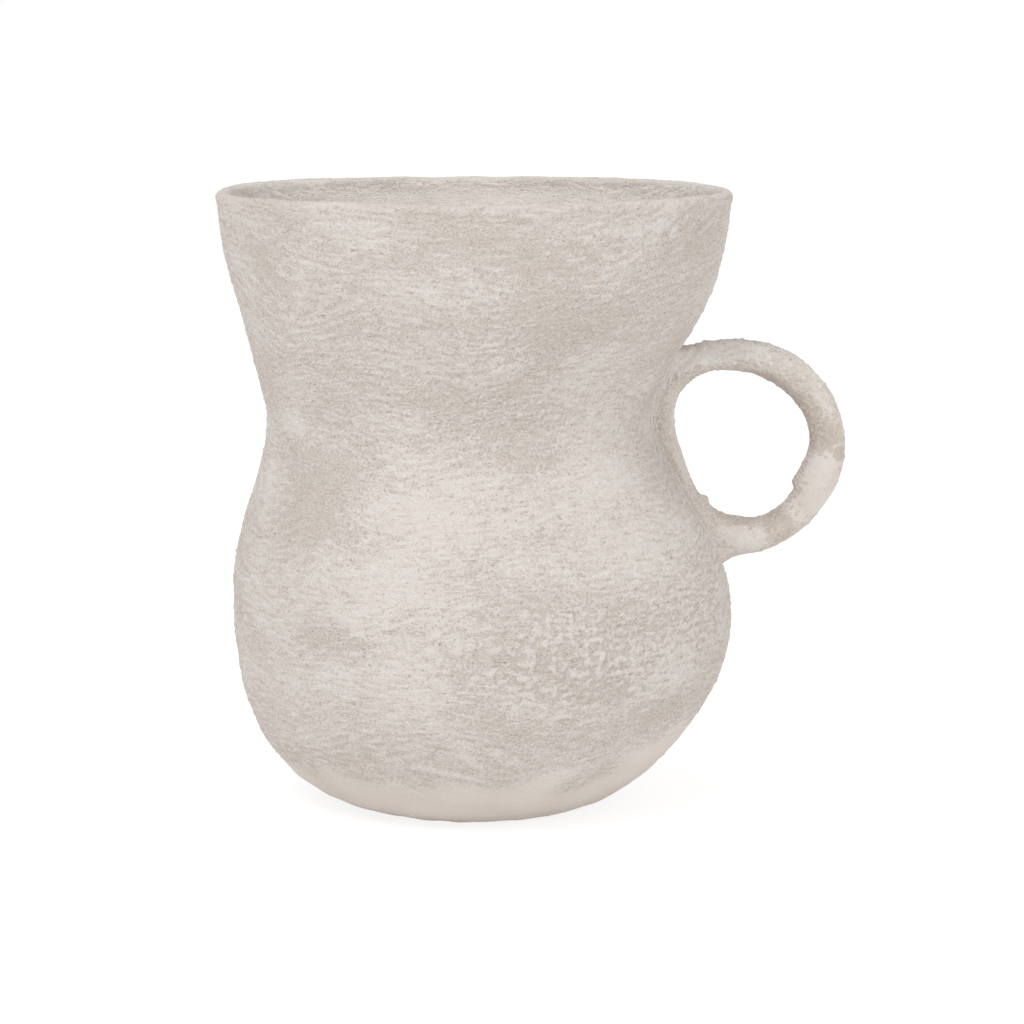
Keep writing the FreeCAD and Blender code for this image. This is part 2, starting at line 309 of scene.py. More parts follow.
@dataclasses.dataclass(frozen=True)
class WallShape:
    """The wall's profile: how its outside swells, leans and thins from the foot to the rim."""

    body_height: float = 250.0
    foot_radius: float = 45.0
    belly_radius: float = 101.2
    belly_height: float = 80.0
    waist_radius: float = 78.4
    waist_height: float = 160.0
    rim_radius: float = 103.6
    foot_swell_power: float = 0.57
    belly_shoulder_power: float = 1.14
    flare_power: float = 0.74
    lean_reach: float = 4.7
    lean_shares: tuple[float, ...] = (0.0, 1.0, -0.94, 0.36, 0.38)
    lean_height_shares: tuple[float, ...] = (0.0, 0.295, 0.647, 0.855, 1.0)
    wall_at_foot: float = 6.5
    wall_at_rim: float = 4.4
    floor_thickness: float = 7.0
    foot_seam_height: float = 24.0
    seam_drop: float = 3.0
    lip_height: float = 7.0
    lip_roll: float = 1.2
    short_rise: float = 0.2
    wall_samples: int = 4001

    def outer_radius(self, height: Array) -> Array:
        """Radius of the outside: a swelling foot, a shouldered belly and a flare.

        The foot swells by one minus the square of the share still to rise, to a power. The
        shoulder and the flare are eased steps of the share risen, each to a power of its own.

        Args:
            height: Where the radius is wanted.

        Returns:
            The radius at each height.
        """
        left = 1.0 - np.clip(height, 0.0, None) / self.belly_height
        swell = (1.0 - np.clip(left, 0.0, 1.0) ** 2) ** self.foot_swell_power
        foot = self.foot_radius + (self.belly_radius - self.foot_radius) * swell
        risen = (height - self.belly_height) / (self.waist_height - self.belly_height)
        eased = ease(np.clip(risen, 0.0, 1.0) ** self.belly_shoulder_power)
        shoulder = self.belly_radius + (self.waist_radius - self.belly_radius) * eased
        risen = (height - self.waist_height) / (self.body_height - self.waist_height)
        eased = ease(np.clip(risen, 0.0, 1.0) ** self.flare_power)
        flare = self.waist_radius + (self.rim_radius - self.waist_radius) * eased
        upper = np.where(height <= self.waist_height, shoulder, flare)
        return np.where(height <= self.belly_height, foot, upper)

    def outer_point(self, height: Array) -> tuple[Array, Array]:
        """Radius and height of the outside's points at the heights."""
        return self.outer_radius(height), height

    def lean(self, height: Array) -> Array:
        """How far the wall's middle stands to the handle's side: eased steps between the shares.

        Args:
            height: Where the lean is wanted.

        Returns:
            The lean at each height.
        """
        share = np.clip(height / self.body_height, 0.0, 1.0)
        total = np.full(np.shape(height), self.lean_shares[0])
        stops = list(zip(self.lean_height_shares, self.lean_shares))
        for (low, low_lean), (high, high_lean) in zip(stops, stops[1:]):
            total = total + (high_lean - low_lean) * ease((share - low) / (high - low))
        return self.lean_reach * total

    def thickness(self, height: Array) -> Array:
        """Thickness of the wall, square to its face, even in its fall from foot to rim."""
        share = np.clip(height / self.body_height, 0.0, 1.0)
        return self.wall_at_foot + (self.wall_at_rim - self.wall_at_foot) * share

    def slope(self, height: Array) -> Array:
        """How fast the outside widens with height, over a short rise."""
        low = np.maximum(height - self.short_rise / 2.0, 0.0)
        return (self.outer_radius(low + self.short_rise) - self.outer_radius(low)) / self.short_rise

    def inner_point(self, height: Array) -> tuple[Array, Array]:
        """The inside's point that faces the outside at a height, one thickness square off it.

        Args:
            height: Heights on the outside.

        Returns:
            Radius and height of the points on the inside.
        """
        slope = self.slope(height)
        inward = self.thickness(height) / np.hypot(1.0, slope)
        return self.outer_radius(height) - inward, height + inward * slope

    def lip_seam_height(self) -> float:
        """Height of the level seam under the lip."""
        return self.body_height - self.lip_height

    def lip_inner_radius(self) -> float:
        """Radius of the mouth inside the lip."""
        seam = np.float64(self.lip_seam_height())
        return float(self.outer_radius(seam) - self.thickness(seam))

    def seam_heights(self) -> Array:
        """Heights of the seams on the outside, from the foot course's top to the lip's seam."""
        return np.linspace(self.foot_seam_height, self.lip_seam_height(), len(WALL_COURSES) + 1)

    def inner_seams(self) -> Array:
        """Facing heights at which the bevels of the seams come out on the inside.

        Each bevel drops from the outside by its drop over one thickness of the wall, so on a
        fine table of the inside the point is taken where the bevel's line last crosses it.

        Returns:
            One height for each seam but the lip's, from the lowest up.
        """
        facing = np.linspace(0.0, self.lip_seam_height(), self.wall_samples)
        radius, level = self.inner_point(facing)
        found = []
        for height in self.seam_heights()[:-1]:
            fall = self.seam_drop * (self.outer_radius(height) - radius) / self.thickness(height)
            gap = level - height + fall
            last = np.flatnonzero(gap < 0.0)[-1]
            found.append(float(np.interp(0.0, gap[last : last + 2], facing[last : last + 2])))
        return np.array(found)

    def depth_outside(self, points: Array) -> tuple[Array, Array]:
        """How far points stand off the outside, and the outside's normals that face them.

        The distance from the middle less the wall's radius there is divided by the length of
        the slope, which is right close to the wall.

        Args:
            points: Places near the wall, with x, y and z last.

        Returns:
            The distances, above zero outside, and one unit normal for each point.
        """
        height = points[..., 2]
        across = points[..., 0] - self.lean(height)
        distance = np.maximum(np.hypot(across, points[..., 1]), 1e-9)
        slope = self.slope(height)
        length = np.hypot(1.0, slope)
        parts = (across / distance / length, points[..., 1] / distance / length, -slope / length)
        return (distance - self.outer_radius(height)) / length, np.stack(parts, -1)


@dataclasses.dataclass
class NodeBench:
    """The nodes of one material or of the world, with short ways to add and join them."""

    tree: bpy.types.NodeTree

    @classmethod
    def cleared(cls, owner: bpy.types.Material | bpy.types.World) -> "NodeBench":
        """The bench of an owner whose nodes are taken away first.

        Args:
            owner: The material or world.

        Returns:
            Its bench, empty.
        """
        owner.use_nodes = True
        owner.node_tree.nodes.clear()
        return cls(owner.node_tree)

    def add(self, kind: str) -> bpy.types.Node:
        """A new node of a kind."""
        return self.tree.nodes.new("ShaderNode" + kind)

    def join(self, source: Socket, target: Socket) -> None:
        """Joins an output to an input."""
        self.tree.links.new(source, target)

    def math(self, operation: str, *terms: Socket | float) -> Socket:
        """A sum, product or other operation on sockets and plain numbers.

        Args:
            operation: Name of the operation.
            terms: What it works on, in order.

        Returns:
            Its value.
        """
        node = self.add("Math")
        node.operation = operation
        for term, socket in zip(terms, node.inputs):
            if isinstance(term, float):
                socket.default_value = term
            else:
                self.join(term, socket)
        return node.outputs["Value"]

    def centred(self, value: Socket, share: float) -> Socket:
        """The value less a half, times a share."""
        return self.math("MULTIPLY_ADD", value, share, -0.5 * share)

    def carried(self, name: str) -> Socket:
        """A value that the mesh carries at its points.

        Args:
            name: The attribute's name.

        Returns:
            The value.
        """
        node = self.add("Attribute")
        node.attribute_type = "GEOMETRY"
        node.attribute_name = name
        return node.outputs["Fac"]

    def matt(self, grey: float) -> Socket:
        """A matt grey surface.

        Args:
            grey: Its level of grey.

        Returns:
            The shader.
        """
        node = self.add("BsdfDiffuse")
        node.inputs["Color"].default_value = (grey, grey, grey, 1.0)
        return node.outputs["BSDF"]

    def glow(self, kind: str, strength: float) -> Socket:
        """White light that a surface or the surroundings give off.

        Args:
            kind: Emission for a surface, Background for the surroundings.
            strength: How bright it is, where 1 is white.

        Returns:
            The shader.
        """
        node = self.add(kind)
        node.inputs["Color"].default_value = (1.0, 1.0, 1.0, 1.0)
        node.inputs["Strength"].default_value = strength
        return node.outputs[kind]

    def both(self, first: Socket, second: Socket) -> Socket:
        """Two shaders added up.

        Args:
            first: One shader.
            second: The other.

        Returns:
            Their sum.
        """
        node = self.add("AddShader")
        self.join(first, node.inputs[0])
        self.join(second, node.inputs[1])
        return node.outputs["Shader"]

    def for_camera(self, lighting: Socket, seen: Socket) -> Socket:
        """One shader that lights things, and another that is seen, also in gloss and glass.

        Args:
            lighting: What rays that light things meet.
            seen: What rays from the camera meet, straight or off gloss or through glass.

        Returns:
            The mixed shader.
        """
        path = self.add("LightPath").outputs
        looks = self.math("MAXIMUM", path["Is Camera Ray"], path["Is Glossy Ray"])
        looks = self.math("MAXIMUM", looks, path["Is Transmission Ray"])
        mix = self.add("MixShader")
        self.join(looks, mix.inputs["Fac"])
        self.join(lighting, mix.inputs[1])
        self.join(seen, mix.inputs[2])
        return mix.outputs["Shader"]


@dataclasses.dataclass(frozen=True)
class ShaderNoise:
    """A noise on the object's own coordinates, finer along an axis with more stretch."""

    stretch: tuple[float, float, float]
    scale: float
    detail: float
    bump_share: float

    def lay(self, bench: NodeBench, place: Socket) -> Socket:
        """Adds the noise to a material.

        Args:
            bench: The material's nodes.
            place: The object's coordinates.

        Returns:
            The noise, about a half.
        """
        mapping = bench.add("Mapping")
        mapping.inputs["Scale"].default_value = self.stretch
        noise = bench.add("TexNoise")
        noise.inputs["Scale"].default_value = self.scale
        noise.inputs["Detail"].default_value = self.detail
        bench.join(place, mapping.inputs["Vector"])
        bench.join(mapping.outputs["Vector"], noise.inputs["Vector"])
        return noise.outputs["Fac"]


FINE_SPECKLE = ShaderNoise((1.0, 1.0, 1.8), scale=880.0, detail=4.0, bump_share=1.0)
FINE_GRIT = ShaderNoise((1.0, 1.0, 1.3), scale=1900.0, detail=2.0, bump_share=0.8)
FINE_STREAKS = ShaderNoise((1.0, 1.0, 5.0), scale=170.0, detail=4.0, bump_share=0.7)


@dataclasses.dataclass(frozen=True)
class SlipFinish:
    """Matt, chalky slip: a dark ground that shows where the pale coat is thin.

    The tone of a piece runs through a ramp of four colours, as linear red, green and blue: the
    ground, a middle, the coat, and a paler colour that is painted light on the inside, where
    the mouth's walls shade it. The finest grain and the pinholes are added here, both to the
    tone and as a bump in millimetres, with the same signs, so that besides random grain they
    paint shade in the bump's dips and pinholes and a highlight on its bumps.
    """

    slot: str
    ground: Colour
    middle: Colour
    coat: Colour
    # How much of each grain goes into the tone. The grain follows the bump, so this is random grain
    # plus painted shade and highlight.
    grain_tone: float
    streak_tone: float
    grain_rise: float
    # The inside's colour is painted light: paler than the coat, to make up for the shade inside the
    # mouth.
    lining: Colour = (0.84, 0.783, 0.733)
    middle_stop: float = 0.4
    coat_stop: float = 0.8
    tone_scale: float = 0.8
    grit_share: float = 2.2
    pit_levels: tuple[float, float] = (0.285, 0.34)
    pit_tone: float = 0.7
    pit_depth: float = 0.25
    roughness: float = 0.94
    specular: float = 0.18

    def material(self) -> bpy.types.Material:
        """The finish's material, made once and then shared."""
        name = self.slot + "_coat"
        return bpy.data.materials.get(name) or self._make(name)

    def _make(self, name: str) -> bpy.types.Material:
        """Builds the nodes: tone plus three noises less pits through a ramp, and all as a bump.

        The noises and the pits are multiplied by how coarse the slip is.

        Args:
            name: The material's name.

        Returns:
            The material.
        """
        made = bpy.data.materials.new(name)
        bench = NodeBench.cleared(made)
        shader = bench.add("BsdfPrincipled")
        shader.inputs["Roughness"].default_value = self.roughness
        shader.inputs["Specular IOR Level"].default_value = self.specular
        bench.join(shader.outputs["BSDF"], bench.add("OutputMaterial").inputs["Surface"])
        place = bench.add("TexCoord").outputs["Object"]
        kinds = (FINE_SPECKLE, FINE_GRIT, FINE_STREAKS)
        noises = [kind.lay(bench, place) for kind in kinds]
        coarse = bench.carried("coarse")
        pits = bench.math("MULTIPLY", self._pits(bench, noises[0]), coarse)
        mixed = bench.carried("tone")
        # The noises go into the tone with the same signs as into the bump: random grain, and also
        # painted shade in the dips and a painted highlight on the bumps.
        shares = (self.grain_tone, self.grit_share * self.grain_tone, self.streak_tone)
        for noise, share in zip(noises, shares):
            grain = bench.math("MULTIPLY", bench.centred(noise, share), coarse)
            mixed = bench.math("ADD", mixed, grain)
        # Painted shade in the pinholes: the tone is darkened where the bump sinks.
        mixed = bench.math("ADD", mixed, bench.math("MULTIPLY", pits, -self.pit_tone))
        colour = self._ramp(bench, bench.math("MULTIPLY", mixed, self.tone_scale))
        bench.join(colour, shader.inputs["Base Color"])
        rises = [bench.centred(noise, kind.bump_share) for noise, kind in zip(noises, kinds)]
        height = bench.math("ADD", bench.math("ADD", rises[0], rises[1]), rises[2])
        height = bench.math("MULTIPLY", height, coarse)
        height = bench.math("ADD", height, bench.math("MULTIPLY", pits, -self.pit_depth))
        bump = bench.add("Bump")
        bump.inputs["Strength"].default_value = 1.0
        bump.inputs["Distance"].default_value = self.grain_rise * MM
        bench.join(height, bump.inputs["Height"])
        bench.join(bump.outputs["Normal"], shader.inputs["Normal"])
        return made

    def _ramp(self, bench: NodeBench, tone: Socket) -> Socket:
        """The ramp of the four colours.

        Args:
            bench: The material's nodes.
            tone: Place on the ramp, from 0 to 1.

        Returns:
            The colour.
        """
        ramp = bench.add("ValToRGB")
        ramp.color_ramp.interpolation = "LINEAR"
        stops = ramp.color_ramp.elements
        stops[0].position, stops[0].color = 0.0, (*self.ground, 1.0)
        stops[1].position, stops[1].color = 1.0, (*self.lining, 1.0)
        stops.new(self.middle_stop).color = (*self.middle, 1.0)
        stops.new(self.coat_stop).color = (*self.coat, 1.0)
        bench.join(tone, ramp.inputs["Fac"])
        return ramp.outputs["Color"]

    def _pits(self, bench: NodeBench, speckle: Socket) -> Socket:
        """Pinholes: 1 where the speckle is under the lower level, 0 over the upper one.

        Args:
            bench: The material's nodes.
            speckle: The noise whose lowest places are the pits.

        Returns:
            How much of a pit each place is.
        """
        node = bench.add("MapRange")
        node.interpolation_type = "SMOOTHSTEP"
        ends = zip(("From Min", "From Max", "To Min", "To Max"), (*self.pit_levels, 1.0, 0.0))
        for name, value in ends:
            node.inputs[name].default_value = value
        bench.join(speckle, node.inputs["Value"])
        return node.outputs["Result"]


BRUSHED_SLIP = SlipFinish(
    slot="brushed_slip",
    ground=(0.50, 0.43, 0.37),
    middle=(0.634, 0.578, 0.537),
    coat=(0.754, 0.73, 0.714),
    grain_tone=0.86,
    streak_tone=0.25,
    grain_rise=0.6,
)
SMOOTH_SLIP = SlipFinish(
    slot="smooth_slip",
    ground=(0.50, 0.435, 0.38),
    middle=(0.62, 0.565, 0.518),
    coat=(0.74, 0.70, 0.66),
    grain_tone=0.86,
    streak_tone=0.25,
    grain_rise=0.6,
)
HANDLE_SLIP = SlipFinish(
    slot="handle_slip",
    ground=(0.495, 0.43, 0.375),
    middle=(0.63, 0.575, 0.528),
    coat=(0.722, 0.697, 0.676),
    grain_tone=0.7,
    streak_tone=0.1,
    grain_rise=0.35,
)


@dataclasses.dataclass
class Piece:
    """One closed shell: its points and faces, and at each point its tone, coarseness and normal."""

    node: Node
    finish: SlipFinish
    points: Array
    faces: list[Array]
    tone: Array
    coarse: Array
    normals: Array

    def make(self) -> bpy.types.Object:
        """Returns:
            The piece, riding on the body and replacing its node.
        """
        mesh = bpy.data.meshes.new(self.node.value + "_skin")
        corners = np.concatenate([block.ravel() for block in self.faces])
        sizes = np.concatenate([np.full(len(block), block.shape[1]) for block in self.faces])
        mesh.vertices.add(len(self.points))
        mesh.vertices.foreach_set("co", (self.points * MM).astype(np.float32).ravel())
        mesh.loops.add(len(corners))
        mesh.loops.foreach_set("vertex_index", corners.astype(np.int32))
        mesh.polygons.add(len(sizes))
        mesh.polygons.foreach_set("loop_start", (np.cumsum(sizes) - sizes).astype(np.int32))
        mesh.update(calc_edges=True)
        for name, values in (("tone", self.tone), ("coarse", self.coarse)):
            carried = mesh.attributes.new(name, "FLOAT", "POINT")
            carried.data.foreach_set("value", values.astype(np.float32))
        mesh.polygons.foreach_set("use_smooth", np.ones(len(sizes), bool))
        mesh.normals_split_custom_set_from_vertices(self.normals.tolist())
        mesh.materials.append(self.finish.material())
        piece = bpy.data.objects.new(mesh.name, mesh)
        bpy.context.scene.collection.objects.link(piece)
        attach(piece, "root")
        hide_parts(self.node.value)
        LOG.info("%s: %d points and %d faces", piece.name, len(self.points), len(sizes))
        return piece


def band_faces(rows: int, columns: int, ring: bool) -> Array:
    """Four-cornered faces of a sheet whose columns close up, and whose rows do too in a ring.

    Args:
        rows: Count of rows of points.
        columns: Count of points in a row.
        ring: Whether the last row joins the first.

    Returns:
        One row of four point numbers for each face.
    """
    row = np.arange(rows if ring else rows - 1)[:, None]
    column = np.arange(columns)[None, :]
    here, after = row * columns, (row + 1) % rows * columns
    beside = (column + 1) % columns
    corners = (here + column, here + beside, after + beside, after + column)
    return np.stack([corner.ravel() for corner in np.broadcast_arrays(*corners)], -1)


def fan_faces(first: int, columns: int, pole: int, outward: bool) -> Array:
    """Triangles from a closed row of points to one pole.

    Args:
        first: Number of the row's first point.
        columns: Count of points in the row.
        pole: Number of the pole's point.
        outward: Whether the row runs before the pole, as at the end of a sheet.

    Returns:
        One row of three point numbers for each face.
    """
    column = np.arange(columns)
    near, far = first + column, first + (column + 1) % columns
    corners = (near, far) if outward else (far, near)
    return np.stack([*corners, np.full(columns, pole)], -1)


def sheet_normals(points: Array, ring: bool) -> Array:
    """Normals of a sheet: the step along a row crossed with the step to the next row.

    Args:
        points: Rows of points whose columns close up.
        ring: Whether the last row joins the first.

    Returns:
        One unit normal for each point.
    """
    across = closed_steps(points, 0) if ring else np.gradient(points, axis=0)
    return unit(np.cross(closed_steps(points, 1), across))


def rows_between(starts: Array, *spans: tuple[int, int]) -> Array:
    """Numbers of the rows of some spans of stretches, each with the row that follows the span."""
    ends = [(starts[first], min(starts[after] + 1, starts[-1])) for first, after in spans]
    return np.concatenate([np.arange(*pair) for pair in ends])


@dataclasses.dataclass
class Sheet:
    """Rows of points whose columns close up, with the normal, tone and coarseness of each."""

    points: Array
    normals: Array
    tone: Array
    coarse: Array

    def rows(self, rows: Array) -> "Sheet":
        """The sheet of some of the rows."""
        return Sheet(self.points[rows], self.normals[rows], self.tone[rows], self.coarse[rows])

    def shell(self, node: Node, finish: SlipFinish) -> Piece:
        """The closed shell in which the last row joins the first.

        Args:
            node: The node that the shell stands for.
            finish: Its slip.

        Returns:
            The shell.
        """
        faces = [band_faces(*self.tone.shape, ring=True)]
        points, normals = self.points.reshape(-1, 3), self.normals.reshape(-1, 3)
        return Piece(node, finish, points, faces, self.tone.ravel(), self.coarse.ravel(), normals)


@dataclasses.dataclass
class Stretch:
    """A stretch of the skin's profile, without its last point: its radii and heights."""

    radius: Array
    height: Array


@dataclasses.dataclass
class Slip:
    """The slip on the wall: how it stands proud and how light it is, by angle and travel.

    Travel is the distance along the skin's profile from the middle of the foot. The coat covers
    the ground where a sum of clouds, streaks and named patches is high enough. Thin patches
    lower that sum and show the ground, thick ones raise it, and crusty ones break the coat into
    clots. Three thin patches along the right edge are partly painted shade, and two thick ones
    on the upper belly's front are partly painted light on its upward slope. Low ledges run along
    the strokes, and named crusts stand up as broken edges.
    """

    nominal_radius: float = 95.5
    length: float = 720.0
    fine_step: float = 0.5
    broad_step: float = 2.0
    stroked: tuple[str, ...] = ("grit", "strokes", "long_strokes", "islands", "clouds")
    climb_reach: float = 18.0
    climb_angle: float = 5.0
    climb_edge: Edge = Edge(165.0, 25.0)
    bend_reach: float = 2.5
    base_mix: Mix = Mix(plain=20.0, clouds=2.5, grit=1.2)
    base_rise: float = 16.0
    base_rise_angle: float = -15.0
    base_rise_spread: float = 0.6
    base_edge_width: float = 1.5
    lip_edge: Edge = Edge(248.9, 0.5)
    lip_raggedness: float = 0.6
    upper_edge: Edge = Edge(200.0, 10.0)
    upper_share: float = 0.45
    wiped_coarse: float = 0.2
    wiped_share: float = 0.15
    clot_mix: Mix = Mix(islands=1.0, grit=0.9, speckle=0.5)
    clot_edge: Edge = Edge(-0.1, 0.2)
    cover_mix: Mix = Mix(
        plain=-0.05,
        broad_clouds=0.12,
        clouds=0.16,
        long_strokes=0.17,
        strokes=0.3,
        grit=0.22,
        speckle=0.2,
        clots=1.4,
    )
    crusty_gap: float = 0.8
    coat_level: float = -0.2
    coat_width: float = 0.6
    crusty_sharpness: float = 0.35
    crumb_level: float = 2.0
    pit_level: float = 1.9
    ledge_mix: Mix = Mix(strokes=1.0, grit=0.3)
    ledge_edge: Edge = Edge(0.6, 0.15)
    ledge_place_mix: Mix = Mix(long_strokes=1.0, clouds=1.0)
    ledge_place_edge: Edge = Edge(0.2, 1.2)
    rise_mix: Mix = Mix(
        speckle=0.015,
        grit=0.03,
        strokes=0.02,
        long_strokes=0.05,
        ledges=0.2,
        coat=0.15,
        clots=0.36,
        crumbs=0.35,
        pits=-0.3,
    )
    broad_rise_mix: Mix = Mix(lumps=0.1, hand=0.3)
    crust_mix: Mix = Mix(plain=0.8, grit=0.3)
    # The tone takes the speckle, strokes, crumbs and pits with the same signs as the rise: besides
    # random grain, painted shade in the pits and a painted highlight on raised crumbs.
    tone_mix: Mix = Mix(
        plain=0.31, coat=0.3, speckle=0.03, strokes=0.03, clouds=0.02, crumbs=0.1, pits=-0.3
    )
    wiped_tone_mix: Mix = Mix(plain=0.47, clouds=0.04, speckle=0.03)
    # Painted light inside the mouth: the inside's tone is pushed towards the paler inside colour
    # from about 30 mm up, fading out just under the rim.
    lining_bottom: Edge = Edge(30.0, 10.0)
    lining_top: Edge = Edge(247.5, 2.5)
    lining_tone: float = 0.85
    thick_edge: Edge = Edge(0.5, 0.35)
    thick_shade: float = 0.05
    thick_smoothness: float = 0.45
    thin: tuple[Patch, ...] = (
        Patch(-90.0, 240.0, 20.0, 6.0, 1.0),
        Patch(-83.0, 237.0, 10.0, 4.0, 0.7),
        Patch(-73.0, 210.0, 14.0, 5.0, 1.0),
        Patch(-62.0, 207.0, 16.0, 5.0, 0.8),
        Patch(-70.0, 193.0, 9.0, 11.0, 1.0),
        Patch(-62.0, 199.0, 13.0, 7.0, 0.6),
        # These three, along the right edge, are partly thin slip and partly painted shade on the
        # side away from the key lamp.
        Patch(-35.0, 230.0, 17.0, 22.0, 0.7),
        Patch(-28.0, 191.0, 19.0, 16.0, 0.6),
        Patch(-20.0, 178.0, 14.0, 14.0, 0.4),
        Patch(-84.0, 166.0, 24.0, 13.0, 0.8),
        Patch(-70.0, 153.0, 11.0, 9.0, 1.2),
        Patch(-97.0, 174.0, 12.0, 7.0, 0.4),
        Patch(-115.0, 187.0, 16.0, 15.0, 0.4),
        Patch(-132.0, 134.0, 17.0, 17.0, 2.0),
        Patch(-137.0, 120.0, 13.0, 6.0, 0.5),
        Patch(-126.0, 81.0, 16.0, 5.0, 0.9),
        Patch(-118.0, 76.0, 10.0, 4.0, 0.5),
        Patch(-95.0, 68.0, 8.0, 11.0, 1.0),
        Patch(-88.0, 55.0, 11.0, 7.0, 0.9),
        Patch(-72.0, 42.0, 22.0, 6.0, 1.1),
        Patch(-60.0, 79.0, 14.0, 11.0, 0.9),
        Patch(-72.0, 73.0, 9.0, 6.0, 0.8),
        Patch(-85.0, 78.0, 7.0, 5.0, 0.7),
        Patch(-65.0, 62.0, 15.0, 5.0, 0.7),
        Patch(-29.0, 47.0, 28.0, 8.0, 1.0),
        Patch(-25.0, 92.0, 12.0, 12.0, 0.4),
        Patch(-143.0, 221.0, 15.0, 12.0, 0.8),
        Patch(-120.0, 208.0, 24.0, 14.0, 0.3),
        Patch(-85.0, 205.0, 26.0, 12.0, 0.4),
        Patch(-78.0, 236.0, 22.0, 10.0, 0.5),
        Patch(-88.0, 102.0, 20.0, 14.0, 0.5),
        Patch(-126.0, 29.0, 21.0, 3.0, 0.6),
    )
    thick: tuple[Patch, ...] = (
        # These two, on the upper belly's front, are partly thick slip and partly painted light on
        # its upward-facing slope.
        Patch(-99.0, 128.0, 36.0, 17.0, 1.2),
        Patch(-108.0, 98.0, 33.0, 13.0, 1.0),
        Patch(-106.0, 63.0, 23.0, 14.0, 0.9),
        Patch(-52.0, 142.0, 27.0, 14.0, 0.6),
        Patch(-114.0, 240.0, 29.0, 6.0, 0.2),
        Patch(-58.0, 111.0, 29.0, 10.0, 0.7),
        Patch(-47.0, 169.0, 22.0, 14.0, 0.4),
        Patch(-136.0, 98.0, 22.0, 15.0, 0.2),
        Patch(-40.0, 125.0, 26.0, 18.0, 0.6),
        Patch(-38.0, 70.0, 22.0, 16.0, 0.5),
    )
    crusty: tuple[Patch, ...] = (
        Patch(-70.0, 74.0, 42.0, 20.0, 1.0),
        Patch(-70.0, 200.0, 24.0, 14.0, 0.7),
        Patch(-30.0, 85.0, 30.0, 26.0, 0.5),
        Patch(-82.0, 165.0, 26.0, 13.0, 0.5),
        Patch(60.0, 90.0, 60.0, 30.0, 0.8),
        Patch(150.0, 190.0, 50.0, 25.0, 0.7),
    )
    crusts: tuple[Crust, ...] = (
        Crust(-106.0, 51.0, 11.0, 2.2, 0.5),
        Crust(-136.0, 36.0, 9.0, 2.0, 0.4),
        Crust(-68.0, 66.0, 7.0, 2.4, 0.55),
        Crust(-60.0, 72.0, 6.0, 2.0, 0.5),
        Crust(-75.0, 60.0, 5.0, 1.8, 0.45),
        Crust(-174.0, 213.0, 12.0, 2.0, 0.5),
        Crust(-175.0, 192.0, 10.0, 1.6, 0.55),
        Crust(-6.0, 213.5, 10.0, 1.5, 0.5),
        Crust(-6.0, 208.0, 10.0, 1.6, 0.5),
        Crust(-7.0, 201.0, 12.0, 1.8, 0.6),
        Crust(-9.0, 50.0, 12.0, 1.6, 0.6),
        Crust(-15.0, 20.5, 10.0, 1.4, 0.5),
        Crust(-163.0, 13.0, 10.0, 1.3, 0.4),
        Crust(-154.0, 6.0, 9.0, 1.2, 0.35),
    )

    def __post_init__(self) -> None:
        """Draws the sheets of noise, each from its own seed."""
        around = FULL_TURN * self.nominal_radius
        fine = ((around, self.length), self.fine_step)
        broad = ((around, self.length), self.broad_step)
        self.grains = {
            "speckle": Grain(*fine, waves=(2.1, 1.9), seed=11),
            "grit": Grain(*fine, waves=(4.2, 3.2), seed=12),
            "strokes": Grain(*fine, waves=(14.0, 2.6), seed=13),
            "long_strokes": Grain(*fine, waves=(42.0, 4.5), seed=14),
            "islands": Grain(*fine, waves=(9.0, 4.0), seed=15),
            "lumps": Grain(*broad, waves=(34.0, 22.0), seed=16),
            "clouds": Grain(*broad, waves=(60.0, 26.0), seed=17),
            "broad_clouds": Grain(*broad, waves=(150.0, 80.0), seed=18),
            "hand": Grain(*broad, waves=(230.0, 120.0), seed=19),
        }
        self.bend = Grain(*broad, waves=(120.0, 70.0), seed=20)

    def smooth_edge(self, angle: Array, along: Array, travel: Array) -> Array:
        """Height at which the wiped base ends: low in front, higher near the handle, and ragged.

        Args:
            angle: Angle round the vase.
            along: Distance round the vase.
            travel: Distance along the profile.

        Returns:
            The height at each point.
        """
        turn = angle_gap(angle, math.radians(self.base_rise_angle))
        rise = self.base_rise * np.exp(-((turn / self.base_rise_spread) ** 2))
        ragged = {name: self.grains[name].at(along, travel) for name in ("clouds", "grit")}
        return rise + self.base_mix.of(ragged)

    def across_strokes(self, along: Array, travel: Array, angle: Array, height: Array) -> Array:
        """Place across the strokes: above the waist they climb away from the front.

        Args:
            along: Distance round the vase.
            travel: Distance along the profile.
            angle: Angle round the vase.
            height: Height of each point.

        Returns:
            The travel less a sine of the angle, and bent a little by a broad noise.
        """
        climb = self.climb_reach * np.sin(angle + math.radians(self.climb_angle))
        climb = climb * self.climb_edge.over(height)
        return travel - climb + self.bend_reach * self.bend.at(along, travel)

    def brushed(self, base_edge: Array, height: Array, grit: Array) -> Array:
        """How coarsely the slip is brushed: 0 on the wiped base, 1 on the wall, less on the lip.

        It is a step over the base's edge times a step down at the lip, and what is left of it
        to 1 is partly made up by a step high on the wall.

        Args:
            base_edge: Height at which the wiped base ends.
            height: Height of each point.
            grit: Noise that makes the edge under the lip ragged.

        Returns:
            The share at each point.
        """
        share = step_over(height, base_edge, self.base_edge_width)
        share = share * (1.0 - self.lip_edge.over(height + self.lip_raggedness * grit))
        return share + self.upper_share * (1.0 - share) * self.upper_edge.over(height)

